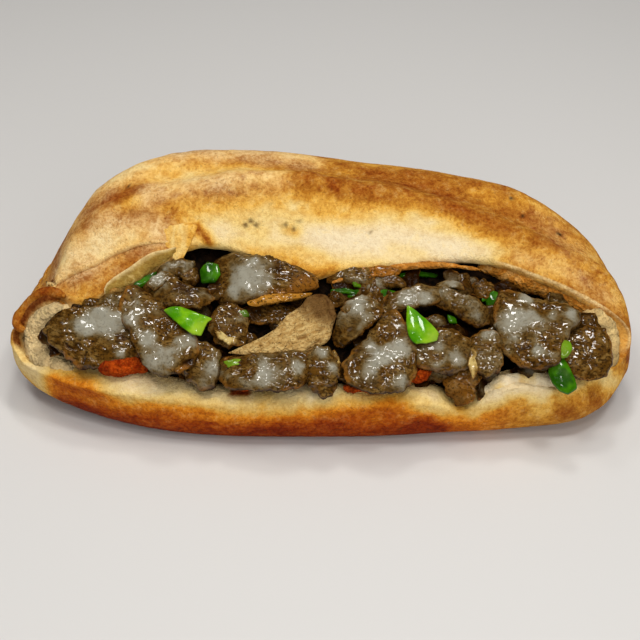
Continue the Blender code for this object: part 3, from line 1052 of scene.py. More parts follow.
@dataclass(frozen=True)
class Baking:
    """Where the oven coloured the dough, from cream through gold to nearly black."""

    stops: tuple[float, ...] = (0.0, 0.15, 0.3, 0.45, 0.6, 0.8, 1.0)
    colours: tuple[Colour, ...] = (
        (0.82, 0.69, 0.46), (0.82, 0.6, 0.225), (0.79, 0.455, 0.085), (0.64, 0.305, 0.036),
        (0.47, 0.195, 0.023), (0.34, 0.09, 0.007), (0.2, 0.033, 0.002),
    )
    base: float = 0.56
    marks: tuple[Mark, ...] = (
        Mark(((-92, 0, 52), (-82, -6, 60)), 22, 0.58, 0.9),
        Mark(((-66, 12, 68), (-50, 18, 70)), 14, 0.44, 0.7),
        Mark(((40, 8, 66), (70, 4, 60), (100, -10, 46)), 24, 0.47, 0.9),
        Mark(((30, 40, 50), (80, 30, 40)), 26, 0.55, 0.8),
        Mark(BACK_CREST[1:6], 7, 0.3, 0.8, 0.9),
        Mark(BACK_CREST[6:9], 8, 0.72, 0.85, 0.4),
        Mark(BACK_CREST[8:], 8, 0.52, 0.85, 0.4),
        Mark(((98, -22, 46), (106, -25, 42), (111, -30, 37)), 5, 0.6, 0.75),
        Mark(((-56, 22, 71), (-46, 23, 71)), 4, 0.66, 0.85, 0.3),
        Mark(((10, 24, 67), (26, 21, 66)), 5, 0.66, 0.7),
        Mark(VALLEY[:5], 6, 0.3, 0.9, -1.2),
        Mark(VALLEY[5:], 6, 0.66, 0.8, -1.0),
        Mark(((-20, 18, 70), (4, 16, 69), (20, 14, 67)), 5, 0.62, 0.6),
        Mark(FRONT_CREST[:6], 5, 0.27, 0.8, 1.0),
        Mark(FRONT_CREST[5:11], 6, 0.68, 0.9, 1.0),
        Mark(FRONT_CREST[10:], 6, 0.5, 0.9, 1.0),
        Mark(((-8, 5, 72), (8, 2, 69), (18, 2, 67)), 4, 0.72, 0.8, 0.3),
        Mark(((-84, -2, 62), (-78, -2, 65), (-66, 2, 69)), 4, 0.66, 0.8, 0.3),
        Mark(((-98, -18, 46), (-88, -16, 54), (-78, -16, 58)), 7, 0.44, 0.8),
        Mark(((-58, -4, 67), (-33, 0, 70), (-12, -2, 69)), 3, 0.52, 0.7, 0.3),
        Mark(((-72, -13, 60), (-58, -12, 62)), 7, 0.5, 0.8),
        Mark(FLAP[:5], 12, 0.06, 1.0, 0.2, 0.15),
        Mark(FLAP[4:], 9, 0.08, 1.0, 0.2, 0.15),
        Mark(((52, -3, 63), (63, -8, 60), (76, -11, 56), (90, -14, 51)), 4.5, 0.68, 0.8, 0.3),
        Mark(((0, -16, 57), (20, -16, 57), (50, -17, 54)), 8, 0.0, 0.9, 0.0, 0.15),
        Mark(((-30, -9, 62), (-22, -12, 60)), 4, 0.24, 0.7),
        Mark(((-13, -12, 60), (-9, -13, 59)), 3, 0.28, 0.8),
        Mark(((-30, -17, 56), (-24, -20, 54)), 3, 0.24, 0.6),
        Mark(((-8, -19, 55), (0, -22, 54)), 3, 0.28, 0.7),
        Mark(((28, -18, 55), (38, -20, 54)), 3, 0.18, 0.6),
        Mark(((74, -18, 51), (86, -22, 48), (98, -24, 44)), 5, 0.58, 0.9),
        Mark(((-76, -13, 59), (-62, -14, 59)), 6, 0.56, 0.7),
        Mark(((90, -22, 47), (104, -20, 44), (110, -24, 38)), 8, 0.3, 0.8),
        Mark(((-96, -30, 44), (-88, -30, 46), (-78, -27, 50)), 5, 0.4, 0.8),
        Mark(((-80, -33, 46), (-77, -31, 47)), 3, 0.56, 0.6),
        Mark(((-74, -28, 49), (-68, -25, 52), (-60, -22, 55)), 3, 0.36, 0.8),
        Mark(((-47, -12, 60), (-43, -15, 58), (-41, -17, 56)), 2.2, 0.9, 0.95, 0.0, 0.2),
    )
    lip_marks: tuple[Mark, ...] = (
        Mark(((-96, -54, 18), (-84, -60, 18)), 7, 0.74, 0.95),
        Mark(((-62, -67, 16), (-44, -69, 16), (-30, -69, 15)), 4, 0.6, 0.7),
        Mark(((12, -70, 15), (26, -70, 17)), 7, 0.78, 0.9),
        Mark(((66, -66, 15), (73, -64, 19)), 5, 0.58, 0.9),
        Mark(((50, -67, 14),), 6, 0.36, 0.8),
        Mark(((-112, -40, 27), (-115, -36, 28)), 3, 0.68, 0.9),
        Mark(((90, -63, 15), (100, -59, 16)), 7, 0.78, 0.9),
        Mark(((4, -69, 8), (30, -68, 8)), 6, 1.0, 0.8),
        Mark(((112, -46, 24), (116, -38, 30)), 6, 0.6, 0.9),
    )
    end_marks: tuple[Mark, ...] = (
        Mark(((-116, -38, 24), (-112, -45, 20), (-107, -49, 19)), 7, 0.1, 0.92),
        Mark(((-116, -37, 27), (-115, -34, 30)), 3, 0.7, 0.9),
    )
    dust: tuple[Mark, ...] = (
        Mark(BACK_CREST[1:6], 7, 0.0, 0.5),
        Mark(FRONT_CREST[1:5], 5, 0.0, 0.48),
        Mark(((-98, -20, 45), (-90, -19, 51), (-82, -16, 57)), 9, 0.0, 0.62),
        Mark(((-74, -13, 59), (-62, -14, 59)), 7, 0.0, 0.5),
        Mark(((75, -19, 52), (85, -21, 50), (94, -23, 47), (103, -26, 43), (110, -28, 39)), 4, 0.0, 0.18),
        Mark(((-73, -16, 57), (-68, -14, 59), (-61, -14, 59)), 6, 0.0, 0.42),
        Mark(((87, -2, 55), (92, -5, 52), (97, -10, 49)), 9, 0.0, 0.1),
        Mark(((-100, -8, 47), (-90, 0, 56)), 8, 0.0, 0.25),
    )
    dusty: Colour = (0.86, 0.7, 0.42)
    herb: Colour = (0.07, 0.035, 0.012)
    glow: Colour = (0.35, 0.0, -0.55)
    lip_heights: tuple[float, ...] = (4.0, 10.0, 13.5, 17.0, 20.5, 25.0)
    lip_toasts: tuple[float, ...] = (1.0, 0.98, 0.8, 0.41, 0.2, 0.04)

    def toast(self, points: Array) -> Array:
        """Degree of toasting, 0 to 1.

        Args:
            points: places on the dough.

        Returns:
            One value for each.
        """
        x, y, z = points[..., 0], points[..., 1], points[..., 2]
        ragged = self.fraying(points)
        value = np.full(x.shape, self.base) + 0.3 * smooth(24.0, 2.0, z)
        value = self.marked(value, self.marks, points, ragged)
        drawn = layered(points * np.array([1.0, 1.0, 0.25]), 3.2, 105, 2)
        height = z + 2.2 * layered(points, 16.0, 101, 2) + 1.4 * ragged + 1.5 * drawn
        lip = np.interp(height, self.lip_heights, self.lip_toasts)
        lip = lip * (1.0 - 0.45 * smooth(38.0, 62.0, x))
        lip = lip * (1.0 - 0.75 * smooth(-98.0, -105.0, x))
        lip = self.marked(lip, self.lip_marks, points, ragged)
        value = blend(value, lip, smooth(-40.0, -50.0, y) * smooth(36.0, 30.0, z))
        value = self.marked(value, self.end_marks, points, ragged)
        streaks = layered(points * np.array([0.45, 1.0, 1.0]), 9.0, 91, 4)
        dapple = layered(points, 5.0, 95, 3)
        value = value + (0.29 * streaks + 0.13 * dapple) * smooth(0.05, 0.4, value)
        spots = smooth(0.25, 0.6, noise(points, 2.4, 77)) * smooth(0.0, 0.5, noise(points, 17.0, 78))
        return np.clip(value + 0.16 * spots * smooth(0.1, 0.4, value), 0.0, 1.0)

    def marked(self, value: Array, marks: tuple[Mark, ...], points: Array, ragged: Array) -> Array:
        """Toasting with some marks laid over it, one after the other.

        Args:
            value: the toasting under them.
            marks: the marks.
            points: places on the dough.
            ragged: random field that frays their borders.

        Returns:
            The toasting after them.
        """
        for mark in marks:
            value = blend(value, mark.toast, mark.weight * mark.strength(points, ragged))
        return value

    def lift(self, points: Array) -> Array:
        """Relief of the crust, millimetres.

        Args:
            points: places on the crust.

        Returns:
            Height above the plain form.
        """
        value = 0.55 * layered(points, 15.0, 11, 3) + 0.16 * layered(points, 3.6, 15, 3)
        ragged = self.fraying(points)
        for mark in self.marks:
            if mark.lift:
                value = value + mark.lift * mark.strength(points, ragged)
        return value

    def fraying(self, points: Array) -> Array:
        """Random field that frays the borders of the marks."""
        return 1.3 * layered(points, 8.0, 3, 4)

    def tint(self, toast: Array) -> Array:
        """Colour of dough toasted so much."""
        table = np.array(self.colours)
        return np.stack([np.interp(toast, self.stops, table[:, k]) for k in range(3)], axis=-1)

    def dusted(self, tint: Array, points: Array) -> Array:
        """Colours with pale dry crust over them.

        Args:
            tint: the colours under it.
            points: places on the dough.

        Returns:
            The colours after it.
        """
        ragged = self.fraying(points)
        share = np.zeros(points.shape[:-1])
        for mark in self.dust:
            share = np.maximum(share, mark.weight * mark.strength(points, ragged))
        share = np.clip(share * (1.0 + 0.6 * layered(points, 6.0, 107, 3)), 0.0, 1.0)
        return blend(tint, np.array(self.dusty), share[..., None])

    def specks(self, points: Array) -> Array:
        """Share of dark herb on each point.

        Args:
            points: places on the dough.

        Returns:
            Values from 0 to 1.
        """
        spots = np.zeros(points.shape[:-1])
        for places, dark, outer, inner in ((HERBS, 1.0, 1.3, 0.6), (FLAP_SPECKS, 0.8, 1.6, 0.5)):
            for place in places:
                away = line_distance(points, np.array([place], dtype=float))
                spots = np.maximum(spots, dark * smooth(outer, inner, away))
        return spots


@dataclass
class Bread:
    """Pocket of baked dough: crust, rolled lip and the crumb of the cavity."""

    loaf: Loaf
    baking: Baking
    spokes: int = 500
    skin_rings: int = 146
    lip_rings: int = 12
    cavity_rings: int = 24
    end: float = 115.5
    end_give: float = 2.2
    crowding: float = 0.8
    cavity_depth: float = 0.93
    crumb_tone: Colour = (0.58, 0.4, 0.17)
    finish: CrustFinish = CrustFinish()

    def build(self) -> Object:
        """Build and dress the bread.

        Returns:
            The object, which stands for the CAD bread.
        """
        loaf = self.loaf
        mouth = loaf.mouth(self.spokes)
        fractions = (np.arange(1, self.skin_rings + 1) / self.skin_rings) ** self.crowding
        outer = np.stack([loaf.ring(f, mouth, 0.0) for f in fractions])
        lift = self.baking.lift(outer) * smooth(1.5, 5.0, outer[..., 2])
        outer = outer + grid_normals(outer) * lift[..., None]
        inside = 1.0 - self.cavity_depth * np.arange(self.cavity_rings + 1) / self.cavity_rings
        inner = np.stack([loaf.cavity_ring(f, mouth) for f in inside])
        inner = inner + grid_normals(inner) * (0.35 * layered(inner, 3.0, 31, 3))[..., None]
        grid = loaf.notched(np.concatenate([outer, self.lip(outer, inner), inner]))
        grid[..., 2] = np.maximum(grid[..., 2], 0.0)
        beyond = np.maximum(np.abs(grid[..., 0]) - self.end, 0.0)
        excess = beyond - self.end_give * np.tanh(beyond / self.end_give)
        grid[..., 0] -= np.sign(grid[..., 0]) * excess
        bare = np.concatenate([np.zeros(self.skin_rings), np.linspace(0.0, 1.0, self.lip_rings - 1),
                               np.ones(len(inner))])[:, None] * np.ones(self.spokes)
        pole = loaf.skin(loaf.pole()[None, :], 0.0)[0]
        body = Ringed("bread_crust", grid, pole, grid[-1].mean(axis=0), self.colours(grid, bare))
        made = body.build(self.finish.material())
        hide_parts("bread")
        return made

    def lip(self, outer: Array, inner: Array) -> Array:
        """Rounded rings over the edge of the mouth.

        Args:
            outer: rings of the crust.
            inner: rings of the cavity.

        Returns:
            The rings between them.
        """
        ahead = outer[-1] - outer[-3]
        span = inner[0] - outer[-1]
        ahead = unit(ahead - span * (np.sum(ahead * span, axis=1) / np.sum(span * span, axis=1))[:, None])
        radius = 0.5 * np.linalg.norm(span, axis=1, keepdims=True)
        ease = (1.0 - 0.85 * smooth(104.0, 113.0, np.abs(outer[-1][:, 0])))[:, None]
        rings = []
        for i in range(1, self.lip_rings):
            angle = math.pi * i / self.lip_rings
            ring = 0.5 * (outer[-1] + inner[0]) - 0.5 * span * math.cos(angle)
            ring = ring + ahead * radius * math.sin(angle) * ease
            rings.append(ring + ahead * (0.35 * math.sin(angle) * noise(ring, 2.5, 41))[:, None])
        return np.stack(rings)

    def colours(self, grid: Array, bare: Array) -> dict[str, Array]:
        """Values stored on the bread.

        Args:
            grid: every ring.
            bare: 0 on the crust, 1 on the crumb inside.

        Returns:
            Colour, toasting and crumb for each point.
        """
        toast = self.baking.toast(grid)
        glow = (smooth(-46.0, -54.0, grid[..., 1]) * smooth(30.0, 22.0, grid[..., 2])
                * smooth(0.25, 0.55, toast) * smooth(82.0, 52.0, grid[..., 0]))
        tint = self.baking.tint(toast) * (1.0 + glow[..., None] * np.array(self.baking.glow))
        tint = self.baking.dusted(tint, grid)
        tint = blend(tint, np.array(self.baking.herb), self.baking.specks(grid)[..., None])
        tone, share = self.rim_tone(grid, bare)
        tint = blend(tint, tone, share[..., None])
        burnt = share * smooth(0.25, 0.1, tone[..., 1])
        return {"tint": tint, "toast": np.maximum(toast * (1.0 - bare), burnt),
                "crumb": smooth(0.55, 1.0, bare)}

    def rim_tone(self, grid: Array, bare: Array) -> tuple[Array, Array]:
        """Colours of the dough's cut edge and of the crumb inside.

        Args:
            grid: every ring.
            bare: 0 on the crust, 1 on the crumb inside.

        Returns:
            The colour and how much of it shows.
        """
        x, y = grid[..., 0], grid[..., 1]
        patchy = layered(grid, 7.0, 55, 3)
        lower = smooth(-44.0, -52.0, y)
        upper = 1.0 - smooth(-40.0, -44.0, y)
        right = upper * smooth(62.0, 70.0, x)
        lobe = upper * smooth(-84.0, -79.0, x) * smooth(-48.0, -52.0, x)
        spots = 0.75 * hump(x, -29.0, 5.0) + 0.75 * hump(x, 20.0, 6.0)
        seared = lower * smooth(0.22, 0.42, bare + 0.12 * patchy) * smooth(0.3, 0.55, spots + 0.3 * patchy)
        rolled = (upper * smooth(-93.0, -98.0, x) * smooth(-41.0, -37.0, y)
                  * smooth(0.0, 0.15, bare) * smooth(0.75, 0.5, bare))
        line = hump(bare, 0.14, 0.1) * smooth(0.0, 0.06, bare)
        specks = smooth(0.15, 0.45, noise(grid, 2.0, 59)) * hump(bare, 0.92, 0.1)
        toasted = upper * smooth(-60.0, -50.0, x) * smooth(0.55, 0.8, bare)
        stretches = (
            ((0.42, 0.2, 0.045), toasted * (0.7 + 0.3 * patchy), toasted * 0.0),
            ((0.42, 0.26, 0.075), lobe * smooth(0.0, 0.15, bare), lobe * smooth(0.0, 0.2, bare) * 0.9),
            ((0.72, 0.38, 0.08), right * smooth(0.25, 0.4, bare), right * smooth(0.2, 0.4, bare)),
            ((0.86, 0.66, 0.33), right * line, right * line),
            ((0.12, 0.04, 0.008), right * specks, right * specks),
            ((0.33, 0.055, 0.003), seared, seared),
            ((0.2, 0.06, 0.01), rolled, rolled),
        )
        tone = np.array(self.crumb_tone) * (1.0 + 0.3 * patchy)[..., None]
        share = smooth(0.35, 0.9, bare)
        for colour, weight, cover in stretches:
            tone = blend(tone, np.array(colour), weight[..., None])
            share = np.maximum(share, cover)
        return tone, share


# ---- folds of dough


@dataclass
class DoughFold:
    """Fold of dough that lies on the crust: a rounded free edge in front, sunk into the crust behind."""

    name: str
    path: Path
    reach: float
    proud: float
    baking: Baking
    toast: float = 0.0
    side: float = 1.0
    tone: Union[Colour, None] = None
    tone_behind: Colour = (0.32, 0.2, 0.04)
    edge_tone: Colour = (0.88, 0.62, 0.26)
    sunk: float = 0.6
    stations: int = 160
    around: int = 44

    def build(self, crust: BVHTree, material: Material) -> Object:
        """Build the fold on the crust.

        Args:
            crust: the crust's surface.
            material: the crust's finish.

        Returns:
            The object.
        """
        guide = spline(np.array(self.path), self.stations, False)
        taper = tapering(self.stations, 0.6)
        rings = []
        for place, ahead, width in zip(guide, unit(np.gradient(guide, axis=0)), taper):
            on, normal = nearest(crust, place)
            rings.append(self.section(crust, on, np.cross(normal, ahead) * self.side, width))
        rings = np.stack(rings)
        rings = rings + grid_normals(rings) * (0.12 * layered(rings, 2.4, 63, 3))[..., None]
        inward = 1.0 - np.abs(np.arange(self.around) / (self.around // 2) - 1.0)
        fade = smooth(0.0, 0.8, taper)[:, None] * smooth(0.95, 0.45, inward)[None, :]
        toast = np.clip(self.baking.toast(rings) + self.toast * fade, 0.0, 1.0)
        edge = smooth(0.22, 0.04, inward)[None, :, None] * 0.75
        tint = blend(self.baking.dusted(self.baking.tint(toast), rings), np.array(self.edge_tone), edge)
        if self.tone is not None:
            behind = smooth(0.02, 0.42, inward)[None, :, None]
            tint = blend(np.array(self.tone), np.array(self.tone_behind), behind)
            tint = tint * (1.0 + 0.35 * layered(rings, 4.0, 66, 3))[..., None]
            toast = np.full(toast.shape, 0.2)
        fields = {"tint": tint, "toast": toast, "crumb": np.zeros(toast.shape)}
        made = capped(self.name, rings, fields).build(material)
        return made

    def section(self, crust: BVHTree, on: Array, across: Array, width: float) -> Array:
        """Closed outline across the fold at one station.

        Args:
            crust: the crust's surface.
            on: the guide's point on the crust.
            across: direction away from the free edge.
            width: share of the full size.

        Returns:
            The outline's points.
        """
        half = self.around // 2
        points = []
        for i in range(self.around):
            t = i / half if i < half else (self.around - i) / half
            spot, normal = nearest(crust, on + across * (self.reach * width * t ** 1.3))
            rise = -self.sunk
            if i < half:
                front = math.sqrt(min(1.0, t * 9.0 + 0.02))
                rise = self.proud * width * (1.0 - smooth(0.15, 1.0, t)) * front
                rise -= self.sunk * smooth(0.8, 1.0, t)
            points.append(spot + normal * rise)
        return np.array(points)


@dataclass
class DoughRoll:
    """Lumpy roll of dough along a line."""

    name: str
    path: Path
    radius: float
    toast: float = 0.8
    crumb: float = 0.0
    lumps: float = 0.3
    tone: Colour = (0.47, 0.33, 0.145)
    sink: float = 0.35
    evening: int = 7
    stations: int = 90
    around: int = 30

    def build(self, baking: Baking, material: Material,
              crust: Union[BVHTree, None] = None) -> Object:
        """Build and dress the roll.

        Args:
            baking: the colours of toasted dough.
            material: the crust's finish.
            crust: the surface that the roll is seated on, in metres in the row frame.

        Returns:
            The object.
        """
        made = self.body(baking, crust).build(material)
        return made

    def seated(self, crust: BVHTree, guide: Array) -> Array:
        """Line moved onto the crust and smoothed.

        Args:
            crust: the crust's surface.
            guide: the line, in loaf millimetres.

        Returns:
            The seated line.
        """
        found = [nearest(crust, place) for place in guide]
        line = np.array([on + normal * self.sink * self.radius for on, normal in found])
        first = np.repeat(line[:1], self.evening, axis=0)
        last = np.repeat(line[-1:], self.evening, axis=0)
        padded = np.concatenate([first, line, last])
        return np.stack([padded[i:i + len(line)] for i in range(2 * self.evening + 1)]).mean(axis=0)

    def body(self, baking: Baking, crust: Union[BVHTree, None] = None) -> Ringed:
        """Shape the roll.

        Args:
            baking: the colours of toasted dough.
            crust: the surface that the roll is seated on, or None where its line is exact.

        Returns:
            The body with its colours.
        """
        guide = spline(np.array(self.path), self.stations, False)
        if crust is not None:
            guide = self.seated(crust, guide)
        along = unit(np.gradient(guide, axis=0))
        side = unit(np.cross(along, np.array([0.0, 0.3, 1.0])))
        over = np.cross(side, along)
        angle = np.arange(self.around) * 2 * math.pi / self.around
        size = self.radius * tapering(self.stations, 0.4) * (1.0 + 0.25 * noise(guide, 6.0, 88))
        rings = guide[:, None] + size[:, None, None] * (side[:, None] * np.cos(angle)[:, None]
                                                        + over[:, None] * np.sin(angle)[:, None])
        rough = self.lumps * (layered(rings, 2.4, 64, 3) + 0.6 * layered(rings, 5.0, 68, 2))
        rings = rings + grid_normals(rings) * rough[..., None]
        toast = np.clip(self.toast + 0.25 * layered(rings, 5.0, 90, 3), 0.0, 1.0)
        tint = baking.tint(toast) * (1.0 - self.crumb)
        # Painted shade: the crumb is lighter on its lumps and darker in the dips between them.
        tint = tint + self.crumb * np.array(self.tone) * (1.0 + 0.45 * rough / self.lumps)[..., None]
        burnt = self.crumb * smooth(0.25, 0.1, np.array(self.tone[1]))
        toast = np.maximum(toast * (1.0 - self.crumb), burnt)
        fields = {"tint": tint, "toast": toast, "crumb": np.full(toast.shape, self.crumb)}
        return capped(self.name, rings, fields)


MOUTH_ROLLS = (
    DoughRoll("left_crumb", LEFT_CRUMB, 4.9, crumb=1.0, lumps=1.0, tone=(0.66, 0.49, 0.245)),
    DoughRoll("flap_underside", FLAP_UNDERSIDE, 1.3, crumb=1.0, lumps=0.5, tone=(0.52, 0.21, 0.032)),
    DoughRoll("lip_swell", LIP_SWELL, 3.3, 0.06),
    DoughRoll("inner_wall", INNER_WALL, 4.2, crumb=1.0, lumps=0.7, tone=(0.44, 0.18, 0.024)),
    DoughRoll("right_crumb", RIGHT_CRUMB, 4.6, crumb=1.0, lumps=0.9, tone=(0.58, 0.41, 0.175)),
)


def nearest(tree: BVHTree, place: Array) -> tuple[Array, Array]:
    """Point and unit normal of a surface nearest a place, both in loaf millimetres."""
    on, normal, _, _ = tree.find_nearest(Vector((place + CENTRING) * MM))
    return np.array(on) / MM - CENTRING, np.array(normal)


def surface_of(*items: Object) -> BVHTree:
    """Search tree over the faces of some objects.

    Args:
        items: mesh objects at the origin.

    Returns:
        The tree, in metres in the row frame.
    """
    verts: list[Vector] = []
    faces: list[tuple[int, ...]] = []
    for item in items:
        start = len(verts)
        verts += [v.co.copy() for v in item.data.vertices]
        faces += [tuple(start + i for i in p.vertices) for p in item.data.polygons]
    return BVHTree.FromPolygons(verts, faces)


# ---- the filling


@dataclass(frozen=True)
class Heap:
    """Leaning face of the filling, on which every slice lies."""

    centre: Point = (0.0, -48.0, 38.0)
    slope: float = 31.0

    def axes(self) -> tuple[Array, Array, Array]:
        """Directions along the loaf, up the slope and out of it."""
        lean = math.radians(self.slope)
        return (np.array([1.0, 0.0, 0.0]), np.array([0.0, math.cos(lean), math.sin(lean)]),
                np.array([0.0, -math.sin(lean), math.cos(lean)]))

    def place(self, along: Array, up: Array, out: Array) -> Array:
        """Points at distances along the loaf, up the slope and out of it."""
        x, y, z = self.axes()
        return np.array(self.centre) + along[..., None] * x + up[..., None] * y + out[..., None] * z


@dataclass
class Core:
    """Chopped filling behind the slices, painted nearly black as shade."""

    loaf: Loaf
    heap: Heap
    spokes: int = 260
    rings: int = 60
    recess: float = 4.5
    slope: float = 27.0
    clearance: float = 3.0
    mouth_length: float = 0.93
    pocket_rings: int = 22
    pocket_span: tuple[float, float] = (0.17, 0.897)
    face_span: tuple[float, float] = (0.96, 0.03)
    finish: PaintedShadeCoreFinish = PaintedShadeCoreFinish()

    def build(self) -> Object:
        """Build and dress the core.

        Returns:
            The object, which stands for the CAD core.
        """
        loaf = self.loaf
        mouth = loaf.mouth(self.spokes)
        rings = []
        for f in np.linspace(*self.pocket_span, self.pocket_rings):
            inward = unit(loaf.ring(f, mouth, 1.2) - loaf.ring(f, mouth, 1.0), 1e-6)
            ring = loaf.cavity_ring(f, mouth) + self.clearance * inward
            shorten = 1.0 - (1.0 - self.mouth_length) * smooth(0.3, 0.8, f)
            rings.append(ring * np.array([shorten, 1.0, 1.0]))
        lean = math.radians(self.slope)
        normal = np.array([0.0, -math.sin(lean), math.cos(lean)])
        middle = np.array(self.heap.centre) - normal * self.recess
        rim = rings[-1]
        ease = 1.0 - smooth(0.8, 0.96, np.abs(rim[:, 0]) / loaf.half_length)
        first = rim - (np.maximum((rim - middle) @ normal, 0.0) * ease)[:, None] * normal
        rings[-1] = first
        level = first - ((first - middle) @ normal)[:, None] * normal
        for f in np.linspace(*self.face_span, self.rings - self.pocket_rings):
            rings.append(middle + (level - middle) * f + (first - level) * smooth(0.6, 1.0, f))
        grid = np.stack(rings)
        face = grid[self.pocket_rings:]
        depth = 1.6 * layered(face, 6.5, 71, 4) - 1.0
        onset = smooth(0.0, 0.2, np.linspace(0.0, 1.0, len(face)))
        grid[self.pocket_rings:] = face + normal * depth[..., None] * onset[:, None, None]
        made = capped("chopped_filling", grid, {}).build(self.finish.material())
        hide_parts("filling_core")
        return made


class Cover(Enum):
    """What lies on a slice: nothing, a thin film of cheese, or a thick blanket."""

    BARE = -0.1
    FILM = 0.42
    BLANKET = 0.48


SEED_STEP = 13
CHEESE_POOLS = (
    (-82, 4, 3.8), (-85, -1, 3.0), (-76, 4, 3.4), (-87, 2, 2.5), (76, 3, 3.4), (73, -4, 2.9), (77, -8, 2.5),
    (-62, 0, 3.4), (43, -6, 2.5), (49, -10, 2.5), (-68, 5, 2.9), (-48, -4, 3.8), (-50, -7, 4.2),
    (-57, -13, 4.2), (-67, 14, 2.1), (-59, 21, 3.4), (-79, 4, 3.8), (-25, 24, 3.8), (-28, 21, 3.4),
    (-33, 17, 2.5), (-21, 20, 3.4), (14, 11, 2.9), (19, 19, 2.1), (-19, -17, 3.8), (-38, -15, 3.8),
    (-8, -15, 2.5), (1, -10, 1.7), (4, -15, 1.7), (23, -11, 3.2), (17, -16, 3.0), (19, -6, 2.9),
    (29, 2, 2.5), (28, -8, 3.4), (29, -20, 2.5), (49, 20, 2.5), (32, 13, 2.5), (38, 12, 2.1), (43, 5, 2.1),
    (59, -1, 2.5), (62, 1, 2.1), (76, 13, 2.1), (77, 5, 2.5), (78, -3, 2.5), (78, -10, 2.5), (68, 2, 3.4),
    (84, 6, 2.1), (91, 5, 1.7), (-62, -4, 2.5), (-72, -8, 1.7)
)
BARE_PATCHES = (
    (-62, 2, 2.9), (-55, 0, 2.5), (-55, -5, 1.7), (-9, 21, 5.0), (-37, 27, 1.7), (-36, 20, 1.7),
    (-29, -12, 3.8), (-25, -16, 2.1), (-2, -17, 2.5), (73, -6, 3.8), (82, 9, 2.5), (69, 15, 2.1),
    (82, -6, 2.5), (-83, -6, 5.9), (22, -4, 2.1), (-51, 0, 2.1), (23, -17, 2.1), (-45, -12, 2.9)
)


